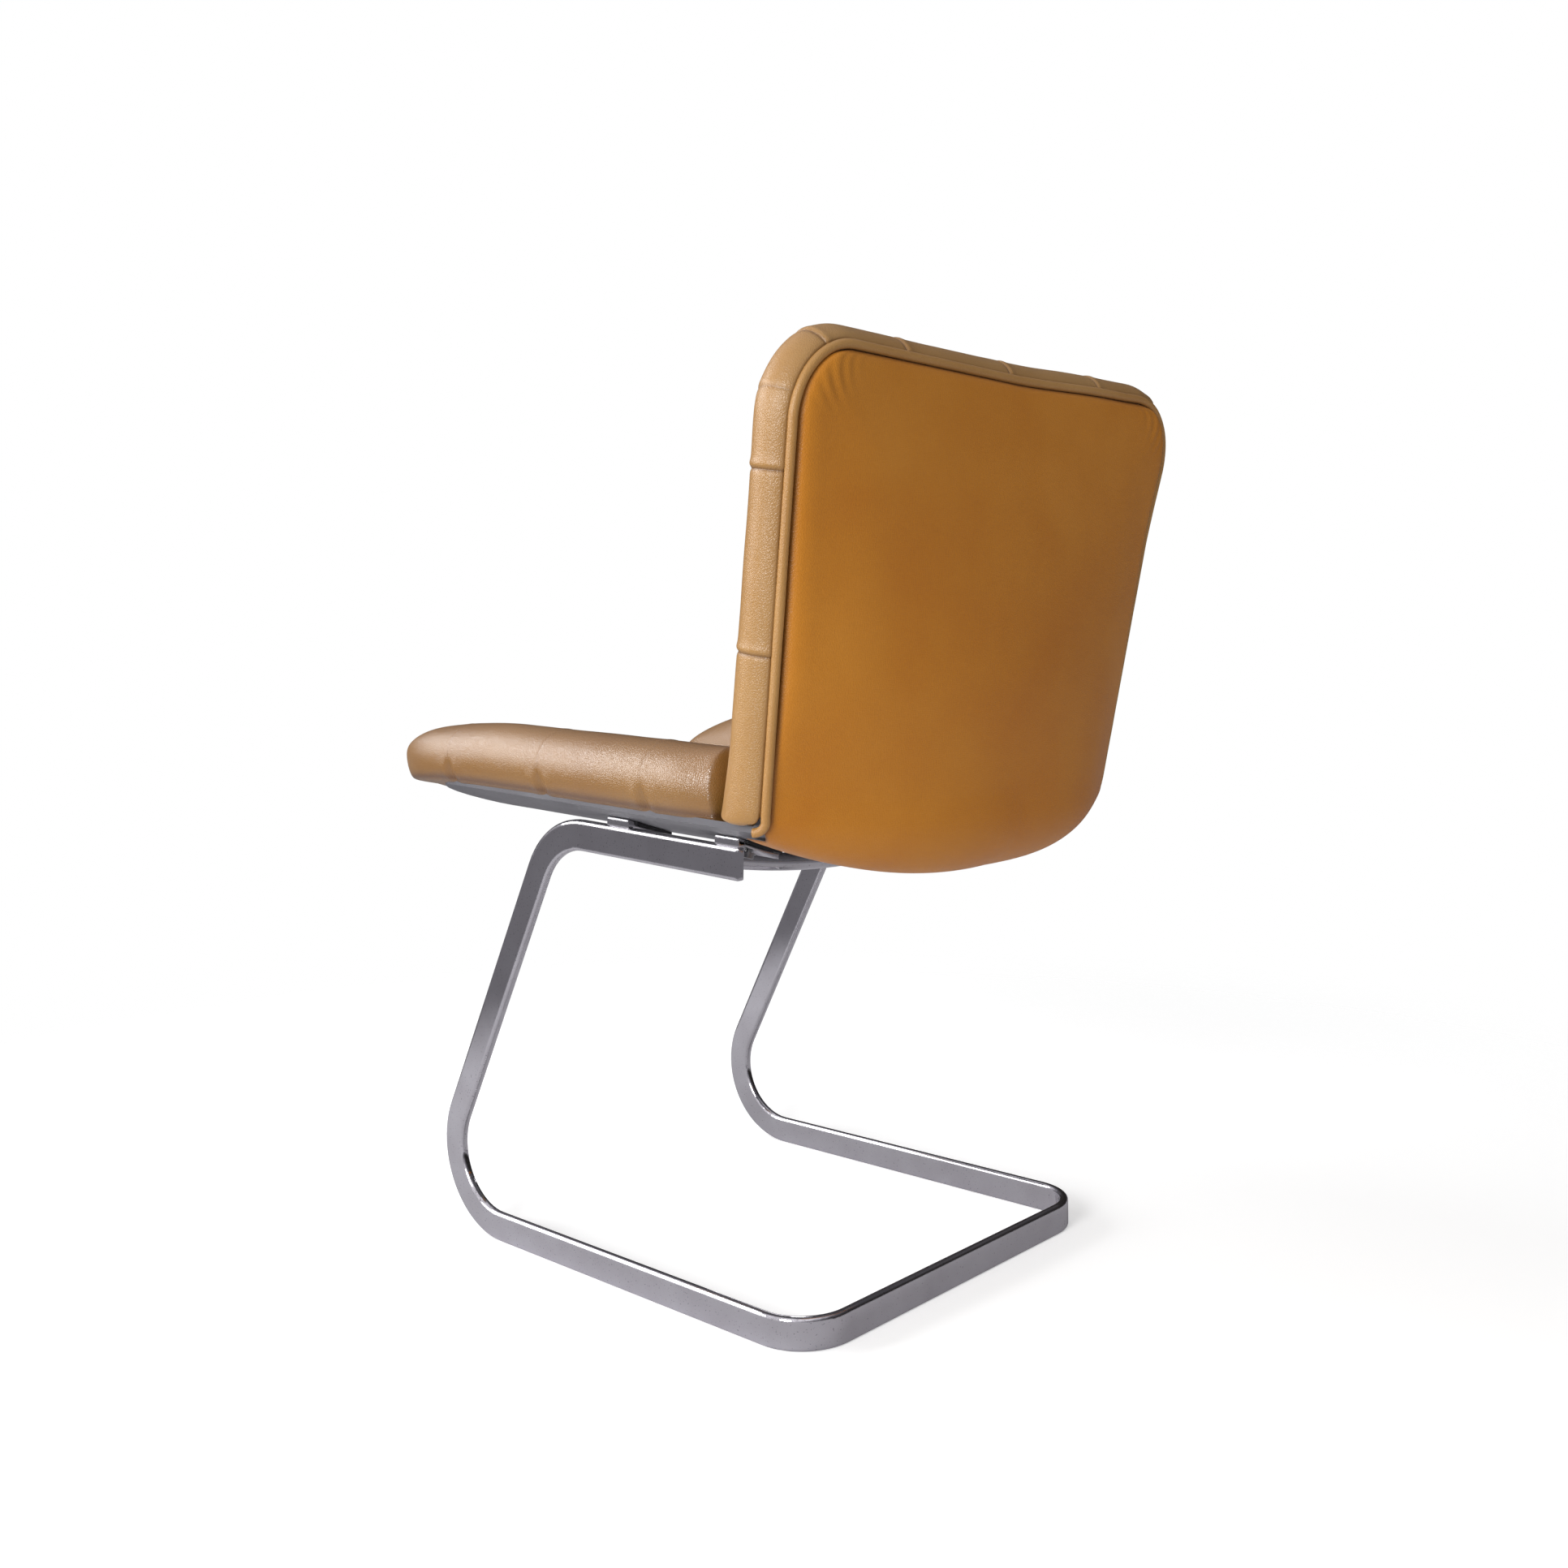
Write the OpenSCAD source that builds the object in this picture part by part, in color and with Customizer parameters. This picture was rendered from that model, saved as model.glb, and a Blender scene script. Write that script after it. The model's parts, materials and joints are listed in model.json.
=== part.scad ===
/* [Flat bar frame] */
// How far the base's outer faces stand in from the shell's edges
base_inset = 26.5; // [16:0.5:40]
// Length of the base, from the front of the lower bends to the rear rail
base_l = 455; // [420:1:520]
// Height of the flat bar on edge
bar_h = 26; // [22:1:30]
// Thickness of the flat bar
bar_t = 8; // [6:0.5:10]
// Rounding of the bar's long edges
bar_edge_r = 3; // [1:0.5:3]
// Inner radius of the edgewise bends of the legs
bend_r = 52; // [40:1:60]
// Outer radius of the rear corners of the base
corner_r = 47; // [30:1:60]
// Lean of the legs from the vertical
leg_lean = 29.4; // [24:0.2:32]
// Height of the top edge of an arm at its rear end
arm_end_h = 377; // [360:1:400]
// How far the arms stop short of the rear rail
arm_setback = 58; // [40:1:90]
// Diameter of the bowed cross bar between the arms
cross_d = 15; // [12:0.5:16]
// Place of the cross bar between the rear and front brackets, as a share of their distance
cross_share = 0.383; // [0.35:0.005:0.5]

/* [Shell] */
// Slope of the seat rim and the arms, falling to the rear
seat_pitch = 3.6; // [2:0.2:5]
// Recline of the back from the vertical
back_recline = 10.4; // [8:0.2:14]
// Gap between the shell's underside and the inner edge of an arm's top
arm_gap = 5.1; // [4:0.1:9]
// Distance of the foot of the back ahead of the rear rail
foot_setback = 3; // [0:1:20]
// Length of the back along its recline, from the foot to the top welt
back_l = 338; // [300:1:380]
// Half of the shell's width at the seat
seat_half_w = 217.5; // [210:0.5:230]
// Half of the back's width between the welts at the top
top_half_w = 237; // [225:0.5:245]
// How far the shell's front edge stops short of the base's front
shell_short = 27; // [10:1:50]
// Plan radius of the shell's front corners
shell_corner_r = 50; // [45:1:60]
// Radius of the upper corners of the back
top_corner_r = 52; // [40:1:60]
// Wall of the moulded shell
shell_wall = 5; // [3:0.5:7]
// Depth of the dish pressed into the seat, below the rim
dish_depth = 44; // [38:0.5:46]
// How far the back swells to the rear at its foot
back_swell = 52; // [40:1:58]
// Radius of the lower rear bend in the middle of the shell
belly_r = 45; // [35:1:60]
// Radius of the same bend at the rim
rim_bend_r = 12; // [9:1:16]

/* [Upholstery] */
// Height of the seat's side crown above the rim
seat_crown_h = 57; // [48:1:64]
// Depth of the hollow in the middle of the seat
seat_hollow = 52; // [44:1:54]
// Share of the seat's half width where the hollow starts to rise to the sides
hollow_share = 0.45; // [0.2:0.05:0.55]
// The same share at the nose, where the side rolls are narrower
nose_hollow_share = 0.7; // [0.45:0.05:0.75]
// How far the seat's crown falls towards the nose
nose_fall = 10; // [0:1:16]
// How far the seat's sides bulge past the rim
seat_bulge = 10; // [6:0.5:14]
// Overhang of the seat's nose ahead of the shell
nose_overhang = 66; // [50:1:72]
// Thickness of the back upholstery at its upper corners
back_pad_t = 42; // [38:1:50]
// How much thicker the back upholstery is at its foot
back_pad_swell = 13; // [4:1:16]
// How far the back's sides bulge past the welt
back_bulge = 11; // [6:0.5:14]
// How far the top of the back stands past the welt
top_bulge = 14; // [8:0.5:18]
// Thickness of the cover leather
leather_t = 1.4; // [1:0.1:2]
// Thickness of the felt under the rear panel
felt_t = 3; // [2:0.5:4]
// Width of the middle patches, as a share of the seat's half width
patch_share = 0.575; // [0.5:0.005:0.65]
// Length of the seat's patches, as a share of the seat's length
seat_row_share = 0.2984; // [0.28:0.0004:0.31]
// Height of the back's patches, as a share of the back's height
back_row_share = 0.388; // [0.35:0.002:0.4]
// Depth of the drawn-in patch seams
seam_depth = 3; // [1:0.5:4]
// Diameter of the welt around the rear panel
welt_d = 7; // [5:0.5:8]

/* [Brackets] */
// Length of a bracket along the arm
bracket_l = 25; // [20:1:32]
// Thickness of a bracket
bracket_t = 8; // [6:0.5:9]
// Width of a bracket, from the arm's outer face inward
bracket_w = 44; // [40:1:50]
// Distance between the two brackets of an arm, as a share of the arm's straight length
bracket_share = 0.676; // [0.6:0.004:0.74]
// Thickness of the rubber pads under the shell
pad_t = 2.5; // [2:0.5:3]
// Thread diameter of the shell screws
screw_d = 6; // [5:1:6]

/* [Hidden] */
$fn = 48;
fit_gap = 0.3;
cut_extra = 1;

// Places that follow from the driving sizes; y is 0 at the rear rail's outer face
half_base = seat_half_w - base_inset;
arm_in = half_base - bar_t;
leg_angle = 90 - leg_lean;
bend_mid_r = bend_r + bar_h / 2;
low_bend = [bend_r + bar_h - base_l, bend_r + bar_h];
leg_dir = [cos(leg_angle), sin(leg_angle)];
arm_up = [sin(seat_pitch), cos(seat_pitch)];
arm_end_top = [-arm_setback, arm_end_h];
arm_end_mid = arm_end_top - arm_up * bar_h / 2;
leg_l = (-bend_mid_r - (low_bend - arm_end_mid) * arm_up) / (leg_dir * arm_up);
top_bend = low_bend + leg_dir * leg_l;
arm_start = top_bend + arm_up * bend_mid_r;
arm_l = norm(arm_end_mid - arm_start);

// The rear leather and felt, and the welt that stands proud of them
skin_t = leather_t + felt_t + 2 * fit_gap;
welt_r = welt_d / 2;
welt_h = skin_t - welt_r - fit_gap;
welt_out = 1;

// The foot of the back, on the shell's rim, which runs along above the arms
shell_reach = base_l - shell_short;
arm_below_rim = arm_gap + dish_depth * dish(arm_in / seat_half_w);
foot_h = arm_end_h + arm_below_rim - (arm_setback - foot_setback) * tan(seat_pitch);
foot = [-foot_setback, foot_h];
back_dir = [sin(back_recline), cos(back_recline)];
back_top = foot + back_dir * back_l;
front_overall = shell_reach + nose_overhang;
rear_overall = back_top.x + (welt_r - welt_h) * cos(back_recline);
origin_shift = (front_overall - rear_overall) / 2;

// Height of the rim line and of the dished underside at a place on the seat
function rim_z(y) = foot_h + (-foot_setback - y) * tan(seat_pitch);
function dish(share) = 1 - share * share;
function under_z(x, y) = rim_z(y) - dish_depth * dish(x / seat_half_w);

// Half width of the back at a height along its recline
function back_half_w(l) = seat_half_w + (top_half_w - seat_half_w) * l / back_l;

module in_chair() {
    translate([0, origin_shift, 0]) children();
}

// FRAME: one flat bar bent from arm end to arm end

module bar_section(h, t) {
    r = min(bar_edge_r, t / 2, h / 2);
    square([h - 2 * r, t], center = true);
    square([h, t - 2 * r], center = true);
    for (sx = [-1, 1], sy = [-1, 1])
        translate([sx * (h / 2 - r), sy * (t / 2 - r)]) circle(r);
}

// Runs straight ahead along x, and puts what follows at the run's end
module ahead(len) {
    rotate([90, 0, 90]) linear_extrude(len) bar_section(bar_h, bar_t);
    translate([len, 0, 0]) children();
}

// Bends edgewise towards y, and puts what follows at the bend's end
module bent(angle) {
    translate([0, bend_mid_r, 0]) {
        rotate([0, 0, -90]) rotate_extrude(angle = angle)
            translate([bend_mid_r, 0]) bar_section(bar_h, bar_t);
        rotate([0, 0, angle]) translate([0, -bend_mid_r, 0]) children();
    }
}

// The rear end of an arm, its corners eased in both views
module arm_tip() {
    intersection() {
        rotate([90, 0, 90]) linear_extrude(bar_h) bar_section(bar_h, bar_t);
        linear_extrude(2 * bar_t, center = true) eased_end(bar_h);
        rotate([90, 0, 0]) linear_extrude(2 * bar_h, center = true) eased_end(bar_t);
    }
}

module eased_end(h) {
    r = min(bar_edge_r, h / 2);
    translate([-cut_extra, -h / 2]) square([bar_h + cut_extra - r, h]);
    translate([0, -h / 2 + r]) square([bar_h, h - 2 * r]);
    for (s = [-1, 1]) translate([bar_h - r, s * (h / 2 - r)]) circle(r);
}

// From the rear corner along the floor, up the leg and back along the arm
module frame_side() {
    rotate([90, 0, -90])
        ahead(-corner_r - low_bend.x) bent(180 - leg_angle)
        ahead(leg_l) bent(leg_angle + seat_pitch)
        ahead(arm_l - bar_h) arm_tip();
}

module frame_half() {
    translate([half_base - bar_t / 2, -corner_r, bar_h / 2]) frame_side();
    translate([half_base - corner_r, -corner_r, bar_h / 2])
        rotate_extrude(angle = 90) translate([corner_r - bar_t / 2, 0]) bar_section(bar_t, bar_h);
    translate([0, -bar_t / 2, bar_h / 2]) rotate([90, 0, 90])
        linear_extrude(half_base - corner_r) bar_section(bar_t, bar_h);
}

module frame_bar() {
    color("silver") in_chair() {
        frame_half();
        mirror([1, 0, 0]) frame_half();
    }
}

// CROSS BAR: a round bar between the arms, bowed down under the shell

bracket_pitch = arm_l * bracket_share;
rear_bracket_y = -arm_setback - bracket_l / 2;
front_bracket_y = rear_bracket_y - bracket_pitch;
cross_y = rear_bracket_y - bracket_pitch * cross_share;
cross_half = arm_in;
cross_mid_z = under_z(0, cross_y) - fit_gap - cross_d / 2;
cross_end_z = arm_end_h + (-arm_setback - cross_y) * tan(seat_pitch) - bar_h / 2;
cross_rise = cross_end_z - cross_mid_z;
cross_r = (cross_half * cross_half + cross_rise * cross_rise) / (2 * cross_rise);
cross_sweep_extra = 1;
cross_bend_facets = 180;

module cross_bar() {
    sweep = asin(cross_half / cross_r) + cross_sweep_extra;
    color("silver") in_chair()
        translate([0, cross_y, cross_mid_z + cross_r]) rotate([90, 0, 0])
        intersection() {
            rotate([0, 0, -90 - sweep]) rotate_extrude(angle = 2 * sweep, $fn = cross_bend_facets)
                translate([cross_r, 0]) circle(d = cross_d);
            translate([-cross_half, -cross_r - cross_d, -cross_d])
                cube([2 * cross_half, cross_r, 2 * cross_d]);
        }
}

// BRACKETS: bent chromed lugs on the arms that reach in under the shell

lug_to = half_base - bracket_w;
screw_x = (arm_in + lug_to) / 2;
lug_share = 0.55;
lug_h = bracket_t * lug_share;
block_edge = 1;

// Slope of the shell's flank above the middle of a lug
function flank_angle(x) = atan(2 * dish_depth * x / (seat_half_w * seat_half_w));
lug_tilt = flank_angle(screw_x);

// Height above the arm's top of the shell's underside, measured at a place across the seat
function shell_above_arm(x, y) = under_z(x, y) - (arm_end_h + (-arm_setback - y) * tan(seat_pitch));

// Drawing in x-z: a block on the arm's top, then a lug that follows the flank inward
module bracket_outline(y) {
    under_pad = pad_t + 2 * fit_gap;
    top_in = shell_above_arm(lug_to, y) - under_pad;
    top_mid = shell_above_arm(arm_in, y);
    top_out = shell_above_arm(half_base, y) - 2 * fit_gap;
    polygon([
        [half_base, 0], [half_base, top_out - block_edge], [half_base - block_edge, top_out],
        [arm_in, top_mid - 2 * fit_gap], [arm_in, top_mid - under_pad],
        [lug_to, top_in], [lug_to, top_in - lug_h], [arm_in, 0]
    ]);
}

// Puts something drawn with z up from the arm's top, at a bracket, square to the arm
module at_bracket(y, side) {
    arm_top = arm_end_h + (-arm_setback - y) * tan(seat_pitch);
    in_chair() translate([0, y, arm_top]) rotate([-seat_pitch, 0, 0])
        mirror([side < 0 ? 1 : 0, 0, 0]) children();
}

module screw_axis(y) {
    lug_mid_z = shell_above_arm(screw_x, y);
    translate([screw_x, 0, lug_mid_z]) rotate([0, -lug_tilt, 0]) children();
}

module screw_hole() {
    cylinder(h = 4 * bracket_t, d = screw_d + 2 * fit_gap, center = true);
}

module bracket(y, side) {
    color("silver") at_bracket(y, side) difference() {
        rotate([90, 0, 0]) linear_extrude(bracket_l, center = true) bracket_outline(y);
        screw_axis(y) screw_hole();
    }
}

// Drawing in x-z of the rubber between a lug and the dished flank
pad_margin = 2;
pad_steps = 6;
module pad_outline(y) {
    from = lug_to - pad_margin;
    to = arm_in - fit_gap;
    at = [for (i = [0:pad_steps]) from + (to - from) * i / pad_steps];
    polygon(concat(
        [for (x = at) [x, shell_above_arm(x, y) - fit_gap]],
        [for (i = [pad_steps:-1:0]) [at[i], shell_above_arm(at[i], y) - pad_t]]));
}

module pad(y, side) {
    color("#26262a") at_bracket(y, side) difference() {
        rotate([90, 0, 0]) linear_extrude(bracket_l + 2 * pad_margin, center = true) pad_outline(y);
        screw_axis(y) screw_hole();
    }
}

module front_left_bracket() { bracket(front_bracket_y, 1); }
module front_right_bracket() { bracket(front_bracket_y, -1); }
module rear_left_bracket() { bracket(rear_bracket_y, 1); }
module rear_right_bracket() { bracket(rear_bracket_y, -1); }
module front_left_pad() { pad(front_bracket_y, 1); }
module front_right_pad() { pad(front_bracket_y, -1); }
module rear_left_pad() { pad(rear_bracket_y, 1); }
module rear_right_pad() { pad(rear_bracket_y, -1); }

// SCREWS: from below through washer, lug and pad into the shell

washer_share = 2;
head_h_share = 0.55;
head_d_share = 1.6;
socket_share = 0.7;
socket_depth_share = 0.6;
barrel_share = 1.5;
flange_share = 2.6;
washer_t = 1.2;
flange_t = 1.5;
thread_gap = 0.1;
head_h = head_h_share * screw_d;
head_d = head_d_share * screw_d;
barrel_d = barrel_share * screw_d;
flange_d = flange_share * screw_d;

// Height along a screw's axis of the lug's underside, from the shell's outer face
lug_under = -(pad_t + 2 * fit_gap + lug_h) * cos(lug_tilt);

module at_screws() {
    for (side = [1, -1], y = [front_bracket_y, rear_bracket_y])
        at_bracket(y, side) screw_axis(y) children();
}

module shell_screws() {
    tip = shell_wall + flange_t;
    color("silver") at_screws() translate([0, 0, lug_under - washer_t]) {
        cylinder(h = tip - lug_under + washer_t, d = screw_d);
        translate([0, 0, -head_h]) difference() {
            cylinder(h = head_h, d = head_d);
            translate([0, 0, -cut_extra])
                cylinder(h = head_h * socket_depth_share + cut_extra, d = screw_d * socket_share, $fn = 6);
        }
    }
}

module shell_washers() {
    color("silver") at_screws() translate([0, 0, lug_under - washer_t]) difference() {
        cylinder(h = washer_t, d = screw_d * washer_share);
        translate([0, 0, -cut_extra]) cylinder(h = washer_t + 2 * cut_extra, d = screw_d + fit_gap);
    }
}

module shell_inserts() {
    color("goldenrod") at_screws() difference() {
        union() {
            cylinder(h = shell_wall + flange_t, d = barrel_d);
            translate([0, 0, shell_wall]) cylinder(h = flange_t, d = flange_d);
        }
        translate([0, 0, -cut_extra])
            cylinder(h = shell_wall + flange_t + 2 * cut_extra, d = screw_d + thread_gap);
    }
}

// SHELL: one dished sheet that turns up from the seat into the back

// A side view of the sheet: seat line, bend and back line, as points with the way to the sitter
function bend_turn(a, b) = acos(a * b / (norm(a) * norm(b)));
function side_view(front, corner, top, r) =
    let (
        din = (corner - front) / norm(corner - front),
        dout = (top - corner) / norm(top - corner),
        turn = bend_turn(din, dout),
        lead = r * tan(turn / 2),
        nin = [-din.y, din.x]
    ) [front, corner - din * lead, corner - din * lead + nin * r, r, atan2(din.y, din.x), turn,
       corner + dout * lead, top];
function on_view(v, kind, t) =
    let (
        a = v[4] + (kind == 0 ? 0 : kind == 1 ? v[5] * t : v[5]),
        up = [-sin(a), cos(a)],
        at = kind == 0 ? v[0] + (v[1] - v[0]) * t : kind == 1 ? v[2] - up * v[3] : v[6] + (v[7] - v[6]) * t
    ) [at, up];

sit_dir = [-cos(back_recline), sin(back_recline)];
rim_foot = foot + sit_dir * skin_t;
rim_front = [-shell_reach, rim_z(-shell_reach)];
rim_corner = [rim_foot.x, rim_z(rim_foot.x)];
rim_top = back_top + sit_dir * skin_t;
belly_foot = rim_foot + [back_swell, 0];
belly_run = (rim_top - belly_foot) / norm(rim_top - belly_foot);
belly_above = belly_foot.y - rim_z(belly_foot.x) + dish_depth;
belly_corner = belly_foot - belly_run * belly_above / (belly_run.y + belly_run.x * tan(seat_pitch));
rim_view = side_view(rim_front, rim_corner, rim_top, rim_bend_r);
belly_view = side_view(rim_front - [0, dish_depth], belly_corner, rim_top, belly_r);

// Half width of the sheet at a station, narrowed where its plan corners are rounded
function eased_w(w, d, r) = d >= r ? w : w - r + sqrt(r * r - (r - d) * (r - d));
function sheet_w(kind, t) = kind == 2 ? back_half_w(t * back_l) : seat_half_w;
function sheet_narrow(kind, t, inset) =
    let (w = sheet_w(kind, t) - inset)
    kind == 0 ? eased_w(w, t * seat_line_l, shell_corner_r)
    : kind == 1 ? w
    : eased_w(w, max(0, (1 - t) * back_line_l - inset), top_corner_r - inset);
seat_line_l = norm(rim_view[1] - rim_view[0]);
back_line_l = norm(rim_view[7] - rim_view[6]);

// A point of the sheet: station, place across from -1 to 1, and offset towards the sitter
function sheet_pt(kind, t, u, off, inset = 0) =
    let (
        e = on_view(rim_view, kind, t),
        m = on_view(belly_view, kind, t),
        x = u * sheet_narrow(kind, t, inset),
        k = dish(x / sheet_w(kind, t)),
        pe = e[0] + e[1] * off,
        pm = m[0] + m[1] * off,
        p = pe + (pm - pe) * k
    ) [x, p.x, p.y];

function steps(n) = [for (i = [0:n]) i / n];
corner_steps = 5;
function corner_shares(r, len) = [for (i = [0:corner_steps]) r * (1 - cos(90 * i / corner_steps)) / len];
seat_line_shares = [0.3, 0.55, 0.8];
back_line_shares = [0.15, 0.35, 0.6];
seat_shares = concat(corner_shares(shell_corner_r, seat_line_l), seat_line_shares);
back_shares = concat(back_line_shares,
    [for (i = [corner_steps:-1:0]) 1 - corner_shares(top_corner_r, back_line_l)[i]]);
bend_steps = 7;
shell_stations = concat(
    [for (t = seat_shares) [0, t]],
    [for (t = steps(bend_steps)) [1, t]],
    [for (t = back_shares) [2, t]]);
across = 20;

// A closed solid between two grids of points of the same size
module between_grids(a, b) {
    rows = len(a);
    cols = len(a[0]);
    n = rows * cols;
    points = concat([for (r = a) each r], [for (r = b) each r]);
    rim = concat(
        [for (j = [0:cols - 1]) j],
        [for (i = [1:rows - 1]) i * cols + cols - 1],
        [for (j = [cols - 2:-1:0]) (rows - 1) * cols + j],
        [for (i = [rows - 2:-1:1]) i * cols]);
    m = len(rim);
    faces = concat(
        [for (i = [0:rows - 2], j = [0:cols - 2]) each let (q = i * cols + j)
            [[q, q + cols + 1, q + cols], [q, q + 1, q + cols + 1]]],
        [for (i = [0:rows - 2], j = [0:cols - 2]) each let (q = n + i * cols + j)
            [[q, q + cols, q + cols + 1], [q, q + cols + 1, q + 1]]],
        [for (k = [0:m - 1]) each let (p = rim[k], q = rim[(k + 1) % m])
            [[p, q + n, q], [p, p + n, q + n]]]);
    polyhedron(points, faces, convexity = 10);
}

function sheet_grid(stations, off, inset = 0, n = across) =
    [for (s = stations) [for (u = steps(n)) sheet_pt(s[0], s[1], 2 * u - 1, off, inset)]];

module seat_shell() {
    color("#b9b8bd") difference() {
        in_chair() between_grids(sheet_grid(shell_stations, 0), sheet_grid(shell_stations, shell_wall));
        at_screws() cylinder(h = 4 * shell_wall, d = barrel_d + 2 * fit_gap, center = true);
    }
}

// REAR PANEL: smooth leather over felt, from under the bend up to the welt

panel_start_share = 0.95;
panel_gap = 1.5;
function panel_stations(inset) = concat(
    [[0, panel_start_share]],
    [for (t = steps(bend_steps)) [1, t]],
    [for (t = back_shares) [2, t * (1 - inset / back_line_l)]]);
panel_inset = welt_r + panel_gap - welt_out;
felt_inset = panel_inset + welt_r;

module rear_felt() {
    stations = panel_stations(felt_inset);
    color("#8d8a80") in_chair() between_grids(
        sheet_grid(stations, -felt_t, felt_inset), sheet_grid(stations, -2 * fit_gap, felt_inset));
}

module rear_panel() {
    stations = panel_stations(panel_inset);
    color("#b5803f") in_chair() between_grids(
        sheet_grid(stations, -skin_t, panel_inset), sheet_grid(stations, -skin_t + leather_t, panel_inset));
}

// CUSHIONS: a grid of top points, a roll of rings round it, and a grid of bottom points

roll_end = -40;
ring_count = 5;
function roll_angles(last) = [60, 30, 0, last / 2, last];
foam_inset = leather_t + fit_gap;

// Seams between the patches, with a line of points on either side of each
seam_half = 12;
patch = seat_half_w * patch_share;
across_seams = [-patch, 0, patch];
function flanked(seams) = [for (s = seams) each [s - seam_half, s, s + seam_half]];
function columns(w) = concat([-w, -(w + patch) / 2], flanked([-patch]), [-patch / 2], flanked([0]),
    [patch / 2], flanked([patch]), [(w + patch) / 2, w]);
function groove(v, seams) = len([for (s = seams) if (abs(v - s) < fit_gap) s]) > 0 ? seam_depth : 0;

// The perimeter of a grid as [column, row, direction of the roll]
fan_steps = 3;
function perimeter(nx, ny, turns) = concat(
    [for (j = [0:ny]) [nx, j, turns[j]]],
    [for (i = [nx - 1:-1:1]) [i, ny, 90]],
    [for (j = [ny:-1:0]) [0, j, 180 - turns[j]]],
    [for (k = [1:fan_steps]) [0, 0, 180 + 90 * k / fan_steps]],
    [for (i = [1:nx - 1]) [i, 0, 270]],
    [for (k = [0:fan_steps - 1]) [nx, 0, 270 + 90 * k / fan_steps]]);
function corner_turn(d, r) = d >= r ? 0 : asin((r - d) / r);
function at_low_end(e) = e[2] > 180 && e[2] < 360;

sideways_share = 0.9;

// A ring's way out from its grid point, drawn in where a seam runs over the roll;
// fullness from 0 to 1 carries the lower half of the roll further out
function roll_out(e, f, reach, inset, cols, rows, seams, fullness = 0) =
    let (
        cut = abs(cos(e[2])) > sideways_share ? groove(rows[e[1]], seams)
            : e[2] == 90 ? groove(cols[e[0]], across_seams) : 0,
        out_share = pow(cos(f), f < 0 ? 1 - fullness : 1)
    ) reach * out_share * (1 - (inset + cut * cos(f)) / norm(reach));

// Joins the grids and rings of a cushion; low is undef for a cover, open underneath
function ring_faces(edge, cols, base, count) =
    let (m = len(edge))
    concat(
        [for (k = [0:m - 1]) each let (
            p = edge[k][1] * cols + edge[k][0],
            q = edge[(k + 1) % m][1] * cols + edge[(k + 1) % m][0],
            r = base + k,
            s = base + (k + 1) % m)
            p == q ? [[p, r, s]] : [[p, r, s], [p, s, q]]],
        [for (g = [0:count - 2], k = [0:m - 1]) each let (
            p = base + g * m + k,
            q = base + g * m + (k + 1) % m)
            [[p, p + m, q + m], [p, q + m, q]]]);
function grid_faces(rows, cols, base, flip) =
    [for (i = [0:rows - 2], j = [0:cols - 2]) each let (q = base + i * cols + j)
        flip ? [[q, q + cols, q + cols + 1], [q, q + cols + 1, q + 1]]
             : [[q, q + cols + 1, q + cols], [q, q + 1, q + cols + 1]]];
function shifted(faces, n) = [for (f = faces) [for (v = f) v + n]];
function turned(faces) = [for (f = faces) [f[0], f[2], f[1]]];

module cushion(top, rings, low, edge, flipped = false) {
    rows = len(top);
    cols = len(top[0]);
    n = rows * cols;
    m = len(edge);
    count = len(rings);
    last = n + (count - 1) * m;
    low_base = n + count * m;
    points = concat([for (r = top) each r], [for (r = rings) each r], [for (r = low) each r]);
    closing = [for (k = [0:m - 1]) each let (
        p = low_base + edge[k][1] * cols + edge[k][0],
        q = low_base + edge[(k + 1) % m][1] * cols + edge[(k + 1) % m][0],
        r = last + k,
        s = last + (k + 1) % m)
        p == q ? [[p, s, r]] : [[p, s, r], [p, q, s]]];
    faces = concat(
        grid_faces(rows, cols, 0, false), ring_faces(edge, cols, n, count),
        closing, grid_faces(rows, cols, low_base, true));
    polyhedron(points, flipped ? faces : turned(faces), convexity = 10);
}

module cover(top, rings, top_in, rings_in, edge, flipped = false) {
    rows = len(top);
    cols = len(top[0]);
    n = rows * cols;
    m = len(edge);
    count = len(rings);
    half = n + count * m;
    last = n + (count - 1) * m;
    points = concat([for (r = top) each r], [for (r = rings) each r],
        [for (r = top_in) each r], [for (r = rings_in) each r]);
    sheet = concat(grid_faces(rows, cols, 0, false), ring_faces(edge, cols, n, count));
    hem = [for (k = [0:m - 1]) each let (p = last + k, q = last + (k + 1) % m)
        [[p, p + half, q + half], [p, q + half, q]]];
    faces = concat(sheet, turned(shifted(sheet, half)), hem);
    polyhedron(points, flipped ? faces : turned(faces), convexity = 10);
}

// SEAT CUSHION, in its own measures: across, ahead of the rear rail, and above the rim

seat_roll_x = 33;
seat_roll_front = 75;
seat_roll_rear = 10;
seat_inner_r = 24;
nose_low_share = 0.7;
seat_in_w = seat_half_w + seat_bulge - seat_roll_x;
seat_front = shell_reach + nose_overhang - seat_roll_front;
seat_rear = back_pad_t + back_pad_swell + foot_setback + 2 * (leather_t + fit_gap) + seat_roll_rear;

function dish_slope(x) = 2 * dish_depth * x / (seat_half_w * seat_half_w);
function in_shell(x) = shell_wall * norm([1, dish_slope(x)]) + 2 * fit_gap
    - dish_depth * dish(x / seat_half_w);
function eased(t) = let (c = max(0, min(1, t))) c * c * (3 - 2 * c);
function along(value, from, to) = max(0, (value - from) / (to - from));
fall_share = 0.72;
narrowing_share = 0.4;
function crown(x, q) =
    let (
        nose = eased(along(q, seat_front * narrowing_share, seat_front)),
        flat = seat_in_w * (hollow_share + (nose_hollow_share - hollow_share) * nose)
    ) seat_crown_h - seat_hollow * (1 - eased(along(abs(x), flat, seat_in_w)))
        - nose_fall * pow(along(q, seat_front * fall_share, seat_front), 2);

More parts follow.
